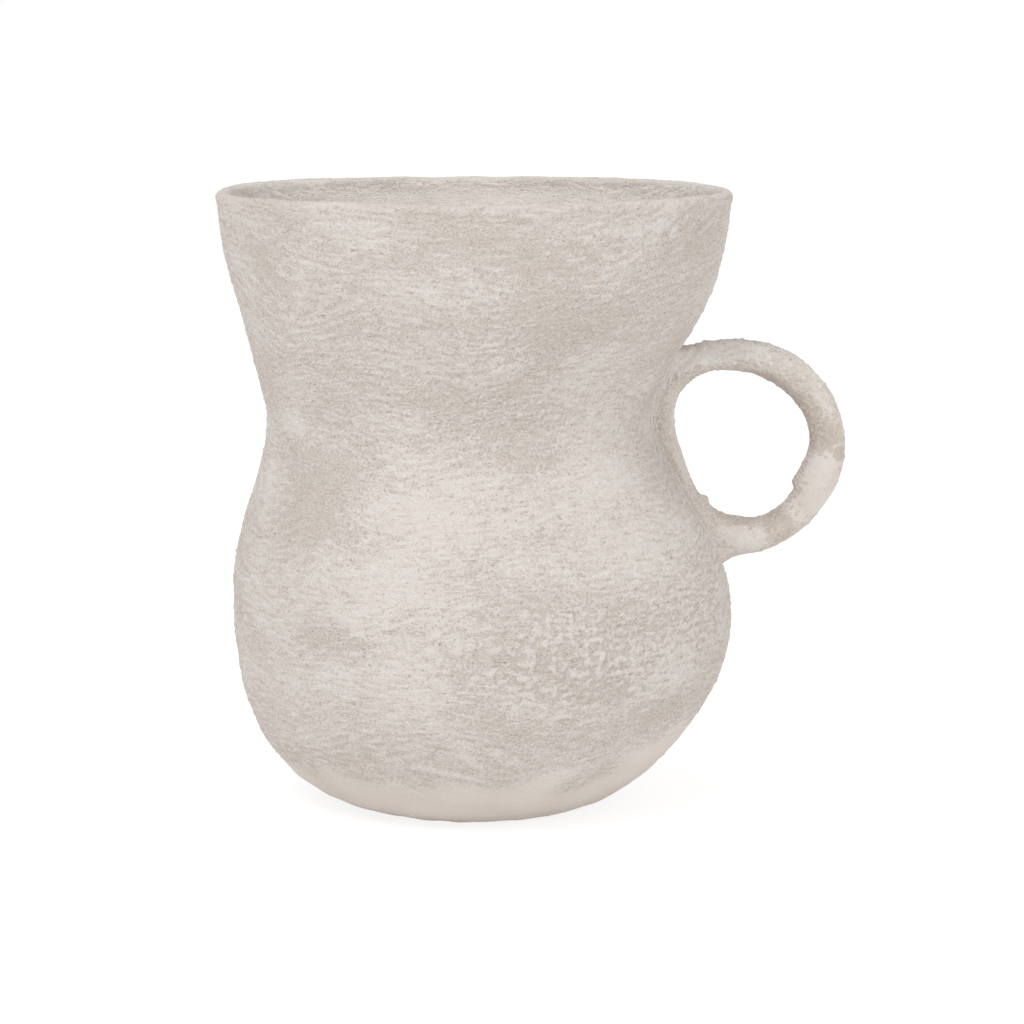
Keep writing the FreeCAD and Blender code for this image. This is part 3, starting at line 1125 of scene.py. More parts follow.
    def lay(
        self, angle: Array, travel: Array, radius: Array, height: Array, zone: Array
    ) -> tuple[Array, Array, Array]:
        """Rise of the slip above the clay, its tone and how coarse it is.

        The cover is a sum of noises and patches, and the coat is a soft step of it, sharper in
        crusty places. The rise is a sum of the layers times the coarseness, plus broad lumps
        and the crusts. The tone is another sum of the layers, some of them the rise's own, so it
        partly paints shade in the pits and a highlight on raised crumbs. It is evened out where
        the slip is wiped, and pushed on along the ramp towards the paler inside colour, which is
        painted light inside the mouth where its walls shade it.

        Args:
            angle: Angle of each point round the vase.
            travel: Distance of each point along the profile.
            radius: Radius of each point.
            height: Height of each point.
            zone: 1 on the outside, 0 elsewhere.

        Returns:
            Rise in millimetres, tone about 0.5 and coarseness from 0 to 1, on the same grid.
        """
        along = (angle % FULL_TURN) * self.nominal_radius
        across = self.across_strokes(along, travel, angle, height)
        layers = {
            name: grain.at(along, across if name in self.stroked else travel)
            for name, grain in self.grains.items()
        }
        place = (angle, height, radius)
        thin, thick, crusty = (
            sum(patch.weight(*place) for patch in patches)
            for patches in (self.thin, self.thick, self.crusty)
        )
        crusty = np.clip(crusty, 0.0, 1.0)
        layers["clots"] = crusty * self.clot_edge.over(self.clot_mix.of(layers))
        cover = self.cover_mix.of(layers) + zone * (thick - thin) - self.crusty_gap * crusty
        coat_width = self.coat_width - self.crusty_sharpness * crusty
        layers["coat"] = step_over(cover, self.coat_level, coat_width)
        layers["crumbs"] = np.maximum(layers["grit"] - self.crumb_level, 0.0)
        layers["pits"] = np.maximum(-layers["speckle"] - self.pit_level, 0.0)
        ledges = self.ledge_edge.over(self.ledge_mix.of(layers))
        layers["ledges"] = ledges * self.ledge_place_edge.over(self.ledge_place_mix.of(layers))
        brushed = self.brushed(self.smooth_edge(angle, along, travel), height, layers["grit"])
        coarse = raised(brushed, self.wiped_coarse)
        rise = self.rise_mix.of(layers) * coarse + self.broad_rise_mix.of(layers)
        crusts = sum(crust.lift(*place) for crust in self.crusts)
        rise = rise + zone * crusts * self.crust_mix.of(layers)
        wiped = self.wiped_tone_mix.of(layers)
        tone = wiped + (self.tone_mix.of(layers) - wiped) * raised(brushed, self.wiped_share)
        # Painted light on the inside, where the walls of the mouth shade it.
        lining = self.lining_bottom.over(height) * (1.0 - self.lining_top.over(height))
        heavy = self.thick_edge.over(cover)
        tone = tone - self.thick_shade * zone * heavy + self.lining_tone * (1.0 - zone) * lining
        return rise, tone, coarse * (1.0 - self.thick_smoothness * heavy)


@dataclasses.dataclass
class Body:
    """The slab, the wall's courses and the lip, cut from one skin."""

    shape: WallShape
    slip: Slip
    columns: int = 1080
    disc_rows: int = 16
    slab_rows: int = 14
    foot_rows: int = 34
    course_rows: int = 62
    lip_rows: int = 26
    inner_course_rows: int = 26
    inner_foot_rows: int = 30
    disc_edge: float = 0.6
    foot_recess: float = 0.5
    recess_slope: float = 8.0
    floor_samples: int = 2001
    bare_above_floor: float = 0.5
    slip_fade: float = 6.0
    bare_tone: float = 0.5
    foot_stretch: int = 2

    def stretches(self) -> list[Stretch]:
        """The skin's profile from the middle of the foot to the middle of the floor.

        The stretches are the underside, the slab's edge, the outside of each course from the
        foot up, the lip, the inside of each course from the top down, and the floor.
        """
        shape = self.shape
        outer_stops = [0.0, shape.floor_thickness, *shape.seam_heights()]
        outer_counts = [self.slab_rows, self.foot_rows] + [self.course_rows] * len(WALL_COURSES)
        floor_facing = self._floor_facing()
        inner_stops = [shape.lip_seam_height(), *shape.inner_seams()[::-1], floor_facing]
        inner_counts = [self.inner_course_rows] * len(WALL_COURSES) + [self.inner_foot_rows]
        floor_radius, floor_level = shape.inner_point(np.float64(floor_facing))
        return [
            self._disc(shape.foot_radius, 0.0, inward=False),
            *self._runs(outer_stops, outer_counts, shape.outer_point),
            self._lip(),
            *self._runs(inner_stops, inner_counts, shape.inner_point),
            self._disc(float(floor_radius), float(floor_level), inward=True),
        ]

    def _floor_facing(self) -> float:
        """Facing height of the inside's lowest point, where the inside meets the floor's top."""
        facing = np.linspace(0.0, self.shape.foot_seam_height, self.floor_samples)
        level = self.shape.inner_point(facing)[1]
        return float(facing[np.argmax(level >= self.shape.floor_thickness)])

    def _runs(
        self, stops: list[float], counts: list[int], place: Callable[[Array], tuple[Array, Array]]
    ) -> list[Stretch]:
        """Stretches from each stop to the next on a curve, with rows that are evenly spaced."""
        spans = zip(stops, stops[1:], counts)
        return [Stretch(*place(even_stops(*span, place))) for span in spans]

    def _disc(self, radius: float, height: float, inward: bool) -> Stretch:
        """A flat disc, from near its middle to its edge, or back.

        Args:
            radius: Radius of its edge.
            height: Its level.
            inward: Whether it runs from the edge inwards.

        Returns:
            The disc's stretch.
        """
        radii = np.linspace(self.disc_edge, radius, self.disc_rows + 1)
        radii = radii[::-1] if inward else radii[:-1]
        return Stretch(radii, np.full(len(radii), height))

    def _lip(self) -> Stretch:
        """The lip: up its outside, over a half round and down its inside."""
        shape = self.shape
        seam = shape.lip_seam_height()
        inside, outside = shape.lip_inner_radius(), float(shape.outer_radius(np.float64(seam)))
        half = (outside + shape.lip_roll - inside) / 2.0
        shoulder = shape.body_height - half
        side = np.linspace(0.0, 1.0, self.lip_rows // 3 + 1)[:-1]
        turn = np.linspace(0.0, np.pi, self.lip_rows - 2 * len(side) + 1)[:-1]
        radius = [
            outside + shape.lip_roll * side,
            inside + half + half * np.cos(turn),
            np.full(len(side), inside),
        ]
        height = [
            seam + (shoulder - seam) * side,
            shoulder + half * np.sin(turn),
            shoulder + (seam - shoulder) * side,
        ]
        return Stretch(np.concatenate(radius), np.concatenate(height))

    def build(self) -> list[Piece]:
        """Lays the slip on the whole skin and cuts it into the pieces.

        Returns:
            The slab, the courses from the foot up, and the lip.
        """
        stretches = self.stretches()
        starts = np.cumsum([0] + [len(stretch.radius) for stretch in stretches])
        sheet = self._skin(stretches, starts)
        pieces = [self._slab(sheet, starts)]
        innermost = len(stretches) - self.foot_stretch
        for index, node in enumerate((Node.FOOT_COURSE, *WALL_COURSES)):
            outer, inner = self.foot_stretch + index, innermost - index
            rows = rows_between(starts, (outer, outer + 1), (inner, inner + 1))
            finish = SMOOTH_SLIP if node is Node.FOOT_COURSE else BRUSHED_SLIP
            pieces.append(sheet.rows(rows).shell(node, finish))
        lip = len(stretches) // 2
        lip_sheet = sheet.rows(rows_between(starts, (lip, lip + 1)))
        pieces.append(lip_sheet.shell(Node.RIM_LIP, SMOOTH_SLIP))
        return pieces

    def _skin(self, stretches: list[Stretch], starts: Array) -> Sheet:
        """The whole skin: each row turned about the leaning middle and lifted by the slip.

        The slip lies on the outside and fades out inside just above the floor. The underside is
        a shallow recess that slopes up from the foot's edge.

        Args:
            stretches: The profile.
            starts: Number of each stretch's first row, and the count of rows.

        Returns:
            The sheet, with one row for each point of the profile.
        """
        radius = np.concatenate([stretch.radius for stretch in stretches])[:, None]
        height = np.concatenate([stretch.height for stretch in stretches])[:, None]
        angle = (np.arange(self.columns) * FULL_TURN / self.columns)[None, :]
        step = np.hypot(np.diff(radius, axis=0), np.diff(height, axis=0))
        travel = np.concatenate([np.zeros((1, 1)), np.cumsum(step, axis=0)])
        run, climb = np.gradient(radius, axis=0), np.gradient(height, axis=0)
        length = np.hypot(run, climb)
        row = np.arange(len(radius))[:, None]
        lip_top = starts[len(stretches) // 2] + self.lip_rows // 2
        zone = ((row >= starts[1]) & (row < lip_top)).astype(float)
        places = np.broadcast_arrays(angle, travel, radius, height)
        rise, tone, coarse = self.slip.lay(*places, zone)
        above = height - self.shape.floor_thickness - self.bare_above_floor
        inside_share = np.clip(above / self.slip_fade, 0.0, 1.0)
        share = np.where(zone > 0.0, 1.0, inside_share)
        tone = self.bare_tone + (tone - self.bare_tone) * share
        from_edge = np.clip((self.shape.foot_radius - radius) / self.recess_slope, 0.0, 1.0)
        rise = np.where(row < starts[1], -self.foot_recess * from_edge, rise * share)
        reach = radius + rise * climb / length
        x = self.shape.lean(height) + reach * np.cos(angle)
        z = np.maximum(height - rise * run / length, 0.0)
        points = np.stack([x, reach * np.sin(angle), z], -1)
        return Sheet(points, sheet_normals(points, ring=False), tone, coarse)

    def _slab(self, sheet: Sheet, starts: Array) -> Piece:
        """The slab: the underside, its edge, the joint under the wall and the floor's top.

        Args:
            sheet: The whole skin.
            starts: Number of each stretch's first row, and the count of rows.

        Returns:
            The slab, closed by a pole in the middle of the underside and of the floor.
        """
        top = len(starts) - 2
        part = sheet.rows(rows_between(starts, (0, self.foot_stretch), (top, top + 1)))
        rows, columns = part.tone.shape
        count = rows * columns
        faces = [
            band_faces(rows, columns, ring=False),
            fan_faces(0, columns, count, outward=False),
            fan_faces(count - columns, columns, count + 1, outward=True),
        ]
        poles = np.array([part.points[0].mean(0), part.points[-1].mean(0)])
        return Piece(
            Node.FLOOR_SLAB,
            SMOOTH_SLIP,
            np.concatenate([part.points.reshape(-1, 3), poles]),
            faces,
            np.concatenate([part.tone.ravel(), part.tone[[0, -1]].mean(1)]),
            np.concatenate([part.coarse.ravel(), part.coarse[[0, -1]].mean(1)]),
            np.concatenate([part.normals.reshape(-1, 3), [(0.0, 0.0, -1.0), (0.0, 0.0, 1.0)]]),
        )


@dataclasses.dataclass(frozen=True)
class HandleSpot:
    """A place on the handle: degrees round the ring and round the coil, and half sizes."""

    ring_angle: float
    tube_angle: float
    half_length: float
    half_width: float

    def distance(self, ring: Array, turn: Array) -> Array:
        """Square of the distance from the spot, counted in its half sizes."""
        near = angle_gap(ring, math.radians(self.ring_angle)) * RING_RADIUS / self.half_length
        beside = angle_gap(turn, math.radians(self.tube_angle)) * COIL_RADIUS / self.half_width
        return near**2 + beside**2


@dataclasses.dataclass(frozen=True)
class Lump(HandleSpot):
    """A lump on the handle."""

    rise: float

    def lift(self, ring: Array, turn: Array) -> Array:
        """Height of the lump: the exponential of minus the squared distance, times its rise."""
        return self.rise * np.exp(-self.distance(ring, turn))


@dataclasses.dataclass(frozen=True)
class Smear(HandleSpot):
    """A ragged-edged patch of coat or bare ground on the handle, by a strength."""

    strength: float
    smooth: float = 0.0
    raggedness: float = 0.3
    edge: Edge = Edge(0.0, 0.1)

    def cover(self, ring: Array, turn: Array, ragged: Array) -> Array:
        """1 inside the patch and 0 outside: an ellipse whose edge a noise moves in and out."""
        return self.edge.over(1.0 - self.distance(ring, turn) + self.raggedness * ragged)


@dataclasses.dataclass(frozen=True)
class Drip:
    """The thick coat that ends in a drip inside the ring, with a bare step below it."""

    angle: float = 320.5
    hole_radius: float = 27.0
    half_width: float = 6.0
    nose: float = 2.0
    length: float = 8.0
    rise: float = 1.7
    step_drop: float = 0.5
    step_length: float = 5.0

    def lift(self, ring: Array, turn: Array) -> Array:
        """Height of the drip: a round nose, a long back, and a hollow in front of the nose.

        The nose is the square root of the share of its length passed, the back and the hollow
        are bells, and a bell round the coil keeps all of it on the ring's inner side.

        Args:
            ring: Angle round the ring.
            turn: Angle round the coil.

        Returns:
            The rise at each point.
        """
        past = angle_gap(ring, math.radians(self.angle)) * self.hole_radius
        inside = np.exp(-((angle_gap(turn, math.pi) * COIL_RADIUS / self.half_width) ** 2))
        nose = np.sqrt(np.clip(past / self.nose, 0.0, 1.0))
        bead = self.rise * nose * np.exp(-(((past - self.nose) / self.length) ** 2))
        hollow = self.step_drop * (1.0 - nose) * np.exp(-((past / self.step_length) ** 2))
        return inside * (bead - hollow)


@dataclasses.dataclass
class Handle:
    """The ring: a coil about a bent middle line, pressed into the wall on its inner side."""

    shape: WallShape
    middle: tuple[float, float] = (111.1, 146.5)
    reaches: tuple[float, ...] = (
        34.6, 34.3, 34.5, 35.9, 38.9, 38.2, 33.4, 32.2, 35.7, 38.2, 36.8, 34.6
    )
    radii: tuple[float, ...] = (7.3, 7.1, 7.2, 6.6, 6.0, 6.4, 7.0, 7.0, 7.1, 7.6, 6.6, 7.6)
    rows: int = 640
    columns: int = 124
    bury: float = 1.5
    press_rounds: int = 3
    turn_ahead: float = 1e-4
    fine_step: float = 0.35
    broad_step: float = 0.7
    bare_edge_mix: Mix = Mix(grit=0.9, speckle=0.5, clouds=0.6)
    coat_edge_mix: Mix = Mix(grit=0.6, speckle=0.1, clouds=0.8)
    smoothest: float = 0.8
    crumb_level: float = 1.6
    rough_rise_mix: Mix = Mix(speckle=0.06, grit=0.08, crumbs=0.25)
    rise_mix: Mix = Mix(waves=0.12, coat=0.16, bare=-0.12)
    # Speckle and grit go into the tone with the same signs as into the rise: random grain, and also
    # painted shade in the dips and a painted highlight on the bumps.
    rough_tone_mix: Mix = Mix(speckle=0.06, grit=0.065)
    tone_mix: Mix = Mix(plain=0.44, clouds=0.05, coat=0.28, bare=-0.38)
    drip: Drip = Drip()
    lumps: tuple[Lump, ...] = (
        Lump(233.5, 180.0, 2.6, 3.4, 1.8),
        Lump(308.0, 10.0, 3.0, 5.0, 0.5),
        Lump(112.0, 0.0, 1.6, 2.0, 0.6),
        Lump(116.0, 0.0, 1.2, 2.0, 0.5),
        Lump(255.0, 200.0, 3.0, 3.0, 0.5),
    )
    bare: tuple[Smear, ...] = (
        Smear(62.0, -152.0, 15.0, 4.0, 1.0),
        Smear(28.0, -142.0, 14.0, 6.0, 1.0),
        Smear(7.0, -112.0, 8.0, 8.0, 1.0),
        Smear(-5.0, -48.0, 3.0, 3.5, 1.0),
        Smear(-66.0, -100.0, 5.5, 9.0, 0.9),
        Smear(-97.0, -158.0, 13.0, 3.5, 0.8),
        Smear(203.0, -98.0, 14.0, 3.0, 0.6),
        Smear(30.0, 90.0, 20.0, 8.0, 0.8),
        Smear(160.0, 110.0, 12.0, 5.0, 0.7),
    )
    coated: tuple[Smear, ...] = (
        Smear(-29.0, -78.0, 20.0, 8.0, 0.4, smooth=0.65),
        Smear(-94.0, -85.0, 11.0, 6.0, 0.5, smooth=0.4),
        # These two pale smears near the ring's top by the wall are partly coat and partly painted
        # light over the shade that the flared mouth casts there.
        Smear(102.0, -62.0, 17.0, 6.5, 0.85, smooth=0.2),
        Smear(122.0, -50.0, 9.0, 7.0, 0.9, smooth=0.2),
        Smear(45.0, -55.0, 18.0, 4.0, 0.2),
        Smear(188.0, -150.0, 18.0, 4.0, 0.4, smooth=0.3),
        Smear(-40.0, 100.0, 18.0, 7.0, 0.5, smooth=0.65),
    )

    def line(self, angle: Array) -> tuple[Array, Array]:
        """The ring's middle line, and the way out of the ring, square to the line.

        Args:
            angle: Angle about the ring's middle.

        Returns:
            Points and unit vectors, with x, y and z last.
        """
        here, later = self._middle_line(angle), self._middle_line(angle + self.turn_ahead)
        step = later - here
        out = np.stack([step[..., 2], np.zeros_like(angle), -step[..., 0]], -1)
        return here, unit(out)

    def _middle_line(self, angle: Array) -> Array:
        """Points of the middle line, at its reach from the ring's middle."""
        reach = smooth_loop(self.reaches, angle)
        x = self.middle[0] + reach * np.cos(angle)
        z = self.middle[1] + reach * np.sin(angle)
        return np.stack([x, np.zeros_like(x), z], -1)

    def tube(
        self, ring_angle: Array, tube_angle: Array, rise: Array | float = 0.0
    ) -> tuple[Array, Array]:
        """Points on the coil's skin and its normals.

        Args:
            ring_angle: Angle about the ring's middle.
            tube_angle: Angle round the coil, 0 on the ring's outside and on towards the back.
            rise: How far the point stands above the coil's skin.

        Returns:
            Points and unit normals, on the grid of the angles.
        """
        line, out = self.line(ring_angle)
        turn = np.asarray(tube_angle)[..., None]
        normals = out * np.cos(turn) + np.array([0.0, 1.0, 0.0]) * np.sin(turn)
        reach = (smooth_loop(self.radii, ring_angle) + rise)[..., None]
        return line + normals * reach, normals

    def press(self, points: Array) -> Array:
        """Moves points that lie too deep in the wall out to the depth at which the coil is buried.

        Args:
            points: Places on the coil's skin.

        Returns:
            The places, moved along the wall's normals where need be.
        """
        for _ in range(self.press_rounds):
            off, normals = self.shape.depth_outside(points)
            points = points + normals * np.maximum(-self.bury - off, 0.0)[..., None]
        return points

    def build(self) -> Piece:
        """The ring with its slip and lumps.

        The rise and the tone are sums of the layers, and the rough ones of them are evened out
        under the smooth smears. The drip and the lumps are added to the rise.

        Returns:
            The closed tube.
        """
        ring = (np.arange(self.rows) * FULL_TURN / self.rows)[:, None]
        turn = (np.arange(self.columns) * FULL_TURN / self.columns)[None, :]
        ring, turn = np.broadcast_arrays(ring, turn)
        extent = (RING_RADIUS * FULL_TURN, COIL_RADIUS * FULL_TURN)
        grains = {
            "speckle": Grain(extent, self.fine_step, waves=(2.2, 2.2), seed=31),
            "grit": Grain(extent, self.fine_step, waves=(4.5, 4.0), seed=32),
            "waves": Grain(extent, self.broad_step, waves=(16.0, 12.0), seed=33),
            "clouds": Grain(extent, self.broad_step, waves=(30.0, 18.0), seed=34),
        }
        layers = {
            name: grain.at(ring * RING_RADIUS, turn * COIL_RADIUS)
            for name, grain in grains.items()
        }
        ragged, wavy = self.bare_edge_mix.of(layers), self.coat_edge_mix.of(layers)
        bare = sum(smear.strength * smear.cover(ring, turn, ragged) for smear in self.bare)
        covers = [(smear, smear.cover(ring, turn, wavy)) for smear in self.coated]
        coated = sum(smear.strength * cover for smear, cover in covers)
        smooth = sum(smear.smooth * cover for smear, cover in covers)
        rough = 1.0 - np.clip(smooth, 0.0, self.smoothest)
        layers["bare"] = np.clip(bare, 0.0, 1.0)
        layers["coat"] = np.clip(coated, 0.0, 1.0) * (1.0 - layers["bare"])
        layers["crumbs"] = np.maximum(layers["grit"] - self.crumb_level, 0.0)
        rise = self.rough_rise_mix.of(layers) * rough + self.rise_mix.of(layers)
        for raised_spot in (self.drip, *self.lumps):
            rise = rise + raised_spot.lift(ring, turn)
        tone = self.rough_tone_mix.of(layers) * rough + self.tone_mix.of(layers)
        points = self.press(self.tube(ring, turn, rise)[0])
        sheet = Sheet(points, sheet_normals(points, ring=True), tone, rough)
        return sheet.shell(Node.RING_HANDLE, HANDLE_SLIP)


@dataclasses.dataclass
class Luting:
    """The luting clay: one fillet all along the crease between coil and wall, in four lengths.

    A station's turn is counted round the crease, 0 at its lower end, a quarter turn at the back,
    a half turn at its upper end and three quarters at the front.
    """

    shape: WallShape
    handle: Handle
    middle_angle: float = 193.0
    half_spread: float = 60.0
    half_wrap: float = 100.0
    search_shares: tuple[float, float] = (0.05, 1.7)
    search_steps: int = 700
    stations: int = 720
    section: int = 16
    on_coil: tuple[float, ...] = (11.5, 7.5, 3.8, 2.4, 2.4, 5.0, 9.5, 5.0, 1.8, 2.0, 4.0, 7.5)
    on_wall: tuple[float, ...] = (6.0, 5.0, 3.4, 2.4, 2.4, 3.4, 5.4, 3.2, 1.8, 2.2, 4.0, 5.5)
    fill: tuple[float, ...] = (0.55, 0.45, 0.2, 0.1, 0.2, 0.6, 0.95, 0.6, 0.1, 0.0, 0.1, 0.4)
    sunk: float = 1.1
    sunk_tone: float = 0.4
    crease_radius: float = 38.0
    crease_length: float = 150.0
    grain_width: float = 30.0
    section_width: float = 8.0
    wobble: float = 0.16
    wobble_step: float = 0.5
    fine_step: float = 0.35
    rise_mix: Mix = Mix(plain=0.15, speckle=0.06, grit=0.08)
    edge_drop: float = 0.6
    # Speckle and grit go into the tone with the same signs as into the rise: random grain, and also
    # painted shade in the dips and a painted highlight on the bumps.
    tone_mix: Mix = Mix(plain=0.46, speckle=0.06, grit=0.06)
    # Painted shade in the crease's valley along the front.
    valley_share: float = 0.62
    valley_width: float = 0.25
    valley_shade: float = 0.22
    # Painted light near the upper end of the crease, where the flared mouth shades the handle's
    # root.
    upper_light: float = 0.3
    ends: tuple[tuple[Node, float, float], ...] = (
        (Node.LOWER_LUTING_COLLAR, -42.0, 42.0),
        (Node.BACK_LUTING_STRIP, 42.0, 138.0),
        (Node.UPPER_LUTING_COLLAR, 138.0, 222.0),
        (Node.FRONT_LUTING_STRIP, 222.0, 318.0),
    )

    def reach_out(self, turn: Array, share: Array) -> tuple[Array, Array]:
        """Ring angle and tube angle of places on the coil, from inside the wall outwards.

        Args:
            turn: Turn of each station.
            share: Share of the half spread and the half wrap.

        Returns:
            The ring angles and the tube angles.
        """
        spread = math.radians(self.half_spread) * share * np.cos(turn)
        wrap = math.radians(self.half_wrap) * share * np.sin(turn)
        return math.radians(self.middle_angle) + spread, wrap

    def crease(self, turn: Array) -> tuple[Array, Array]:
        """Ring angle and tube angle of the crease.

        From a point well inside the wall, a path runs over the coil's skin along each turn, and
        the crease is where the path first stands clear of the wall.

        Args:
            turn: Turn of each station.

        Returns:
            The ring angles and the tube angles.
        """
        share = np.linspace(*self.search_shares, self.search_steps)
        places = self.handle.tube(*self.reach_out(turn[:, None], share))[0]
        off = self.shape.depth_outside(places)[0]
        after = np.argmax(off > 0.0, axis=1)
        row = np.arange(len(turn))
        low, high = off[row, after - 1], off[row, after]
        found = share[after - 1] + (share[after] - share[after - 1]) * low / (low - high)
        return self.reach_out(turn, found)

    def band(self) -> tuple[Array, Array]:
        """The whole fillet as a closed sheet, station by station.

        Each section is a curve that leaves the coil, passes inside the crease and runs out on
        the wall: a quadratic curve with the crease as its middle point. Three sunk points close
        it underneath.

        Returns:
            Points and tones, one row for each station.
        """
        turn = np.arange(self.stations) * FULL_TURN / self.stations
        ring, wrap = self.crease(turn)
        corner, coil_out = self.handle.tube(ring, wrap)
        wall_out = self.shape.depth_outside(corner)[1]
        along = unit(closed_steps(corner, 0))
        off_wall = unit(np.cross(wall_out, along))
        off_wall = off_wall * np.sign(np.sum(off_wall * coil_out, -1, keepdims=True))
        extent = (self.crease_length, self.grain_width)
        place = turn[:, None] * self.crease_length / FULL_TURN
        wobbly = Grain(extent, self.wobble_step, waves=(14.0, 14.0), seed=41)
        wobble = 1.0 + self.wobble * wobbly.at(place, 0.0 * place)
        spread = (ring - math.radians(self.middle_angle)) * self.crease_radius
        crease = np.stack([spread, wrap * COIL_RADIUS], -1)
        ahead = unit(closed_steps(crease, 0))
        clear = np.stack([ahead[:, 1], -ahead[:, 0]], -1)
        clear = clear * np.sign(np.sum(clear * crease, -1, keepdims=True))
        clear = clear * smooth_loop(self.on_coil, turn)[:, None] * wobble
        beyond = (ring + clear[:, 0] / self.crease_radius, wrap + clear[:, 1] / COIL_RADIUS)
        start, start_out = self.handle.tube(*beyond)
        finish = corner + off_wall * smooth_loop(self.on_wall, turn)[:, None] * wobble
        off, out = self.shape.depth_outside(finish)
        finish = finish - off[:, None] * out
        share = np.linspace(0.0, 1.0, self.section)[None, :, None]
        fill = smooth_loop(self.fill, turn)[:, None]
        lifted = corner + fill * (0.5 * (start + finish) - corner)
        curve = (1.0 - share) ** 2 * start[:, None] + 2.0 * share * (1.0 - share) * lifted[:, None]
        curve = curve + share**2 * finish[:, None]
        facing = unit(coil_out[:, None] * (1.0 - share) + wall_out[:, None] * share)
        rise, tone = self.slip(extent, np.broadcast_to(place, curve.shape[:2]), share[..., 0], turn)
        sunk = np.stack([
            finish - wall_out * self.sunk,
            corner - unit(wall_out + coil_out) * self.sunk,
            start - start_out * self.sunk,
        ], 1)
        sunk_tone = np.full(sunk.shape[:2], self.sunk_tone)
        points = np.concatenate([curve + facing * rise[..., None], sunk], 1)
        return points, np.concatenate([tone, sunk_tone], 1)

    def slip(
        self, extent: tuple[float, float], place: Array, share: Array, turn: Array
    ) -> tuple[Array, Array]:
        """Rise and tone of the slip on the fillet.

        The slip is rough and thins out towards both edges with the fourth power of the distance
        from the middle. Its tone has painted shade in the crease's valley along the front, and
        painted light near the upper end, where the flared mouth shades the root.

        Args:
            extent: Length and width of the sheets of noise.
            place: Distance of each point along the crease.
            share: Share of the section passed, from the coil to the wall.
            turn: Turn of each station.

        Returns:
            Rise in millimetres and tone, one row for each station.
        """
        across = share * self.section_width
        layers = {
            "speckle": Grain(extent, self.fine_step, waves=(2.2, 2.2), seed=42).at(place, across),
            "grit": Grain(extent, self.fine_step, waves=(4.5, 4.0), seed=43).at(place, across),
        }
        rise = self.rise_mix.of(layers) - self.edge_drop * (2.0 * share - 1.0) ** 4
        # Painted shade in the crease along the front, and painted light near the upper end.
        front, upper = (np.maximum(-wave(turn[:, None]), 0.0) for wave in (np.sin, np.cos))
        valley = front * np.exp(-(((share - self.valley_share) / self.valley_width) ** 2))
        tone = self.tone_mix.of(layers) - self.valley_shade * valley + self.upper_light * upper**3
        return rise, tone

    def build(self) -> list[Piece]:
        """Cuts the fillet into its four lengths and caps them.

        The ends count the stations from the last one back, so the length that is named for the
        back lies in front, and the other way round.

        Returns:
            The two collars and the two strips.
        """
        points, tone = (rows[::-1] for rows in self.band())
        normals = sheet_normals(points.swapaxes(0, 1), ring=True).swapaxes(0, 1)
        width = points.shape[1]
        pieces = []
        for node, *angles in self.ends:
            first, last = (int(round(angle / 360.0 * self.stations)) for angle in angles)
            rows = np.arange(first, last + 1) % self.stations
            number = np.arange(len(rows) * width).reshape(-1, width)
            side = np.roll(number, -1, 1)
            quads = np.stack([number[1:], side[1:], side[:-1], number[:-1]], -1).reshape(-1, 4)
            faces = [quads, number[:1], number[-1:, ::-1]]
            shell, faced = points[rows].reshape(-1, 3), normals[rows].reshape(-1, 3)
            coarse = np.ones(len(shell))
            pieces.append(
                Piece(node, HANDLE_SLIP, shell, faces, tone[rows].ravel(), coarse, faced)
            )
        return pieces


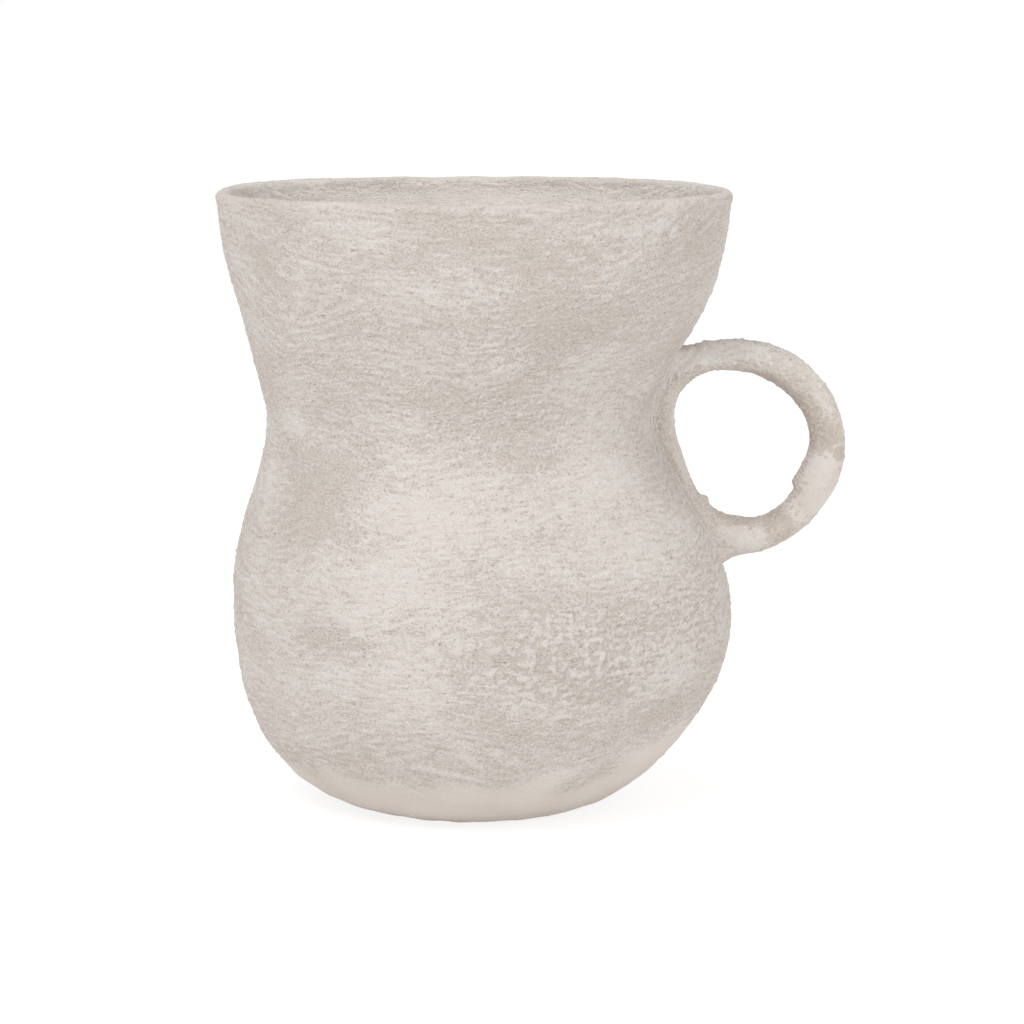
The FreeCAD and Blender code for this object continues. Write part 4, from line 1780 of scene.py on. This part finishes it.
@dataclasses.dataclass
class Studio:
    """The floor, the white surroundings, two broad soft lamps and the camera, in metres.

    The floor and the surroundings light the vase as a pale table in a white room, and the camera
    sees both as white but for a faint shadow.
    """

    floor_side: float = 12.0
    table_grey: float = 0.8
    table_glow: float = 0.28
    shadow_grey: float = 0.28
    seen_glow: float = 0.8
    surround_light: float = 0.795
    seen_surround: float = 1.0
    lamp_side: float = 0.8
    lamp_power: float = 20.0
    lamp_place: tuple[float, float, float] = (-0.85, -1.5, 2.0)
    fill_power: float = 7.0
    fill_place: tuple[float, float, float] = (1.6, -1.5, 1.1)
    target: tuple[float, float, float] = (0.017, 0.0, 0.1181)
    camera_place: tuple[float, float, float] = (0.0, -1.45, 0.3341)
    lens: float = 125.93
    sensor_width: float = 36.0
    clip_range: tuple[float, float] = (0.05, 60.0)

    def build(self) -> None:
        """Makes the floor, the world, the lamps and the camera."""
        self._floor()
        self._world()
        self._lamp("soft_lamp", self.lamp_power, self.lamp_place)
        self._lamp("low_fill", self.fill_power, self.fill_place)
        self._camera()

    def _floor(self) -> None:
        """A wide level floor, white to the camera but for a faint shadow."""
        half = self.floor_side / 2.0
        corners = [(-half, -half, 0.0), (half, -half, 0.0), (half, half, 0.0), (-half, half, 0.0)]
        mesh = bpy.data.meshes.new("floor")
        mesh.from_pydata(corners, [], [(0, 1, 2, 3)])
        floor = bpy.data.objects.new("floor", mesh)
        bpy.context.scene.collection.objects.link(floor)
        made = bpy.data.materials.new("floor_white")
        bench = NodeBench.cleared(made)
        table = bench.both(bench.matt(self.table_grey), bench.glow("Emission", self.table_glow))
        seen = bench.both(bench.matt(self.shadow_grey), bench.glow("Emission", self.seen_glow))
        surface = bench.add("OutputMaterial").inputs["Surface"]
        bench.join(bench.for_camera(table, seen), surface)
        mesh.materials.append(made)

    def _world(self) -> None:
        """Even light from all round, and white where the camera looks past the floor."""
        world = bpy.data.worlds.new("white_surround")
        bpy.context.scene.world = world
        bench = NodeBench.cleared(world)
        light, white = (
            bench.glow("Background", strength)
            for strength in (self.surround_light, self.seen_surround)
        )
        surface = bench.add("OutputWorld").inputs["Surface"]
        bench.join(bench.for_camera(light, white), surface)

    def _lamp(self, name: str, power: float, place: tuple[float, float, float]) -> None:
        """A broad soft lamp that faces the vase.

        Args:
            name: The lamp's name.
            power: Its power in watts.
            place: Where it stands.
        """
        lamp = bpy.data.lights.new(name, "AREA")
        lamp.shape = "SQUARE"
        lamp.size = self.lamp_side
        lamp.energy = power
        self._aim(name, lamp, place)

    def _camera(self) -> None:
        """The camera at the photograph's angle, with no shift and everything sharp."""
        camera = bpy.data.cameras.new("camera")
        camera.lens = self.lens
        camera.sensor_width = self.sensor_width
        camera.clip_start, camera.clip_end = self.clip_range
        bpy.context.scene.camera = self._aim("camera", camera, self.camera_place)

    def _aim(
        self, name: str, data: bpy.types.ID, place: tuple[float, float, float]
    ) -> bpy.types.Object:
        """An object at a place that looks at the target, with its top up.

        Args:
            name: The object's name.
            data: The lamp or camera that it holds.
            place: Where it stands.

        Returns:
            The object.
        """
        made = bpy.data.objects.new(name, data)
        bpy.context.scene.collection.objects.link(made)
        made.location = place
        sight = Vector(self.target) - Vector(place)
        made.rotation_euler = sight.to_track_quat("-Z", "Y").to_euler()
        return made


def main() -> None:
    """Builds the vase and its studio, and reports each piece."""
    logging.basicConfig(level=logging.INFO, format="%(name)s: %(message)s")
    bpy.context.scene.view_settings.view_transform = "Standard"
    shape = WallShape()
    handle = Handle(shape)
    Studio().build()
    for piece in (*Body(shape, Slip()).build(), handle.build(), *Luting(shape, handle).build()):
        piece.make()


if __name__ == "__main__":
    main()
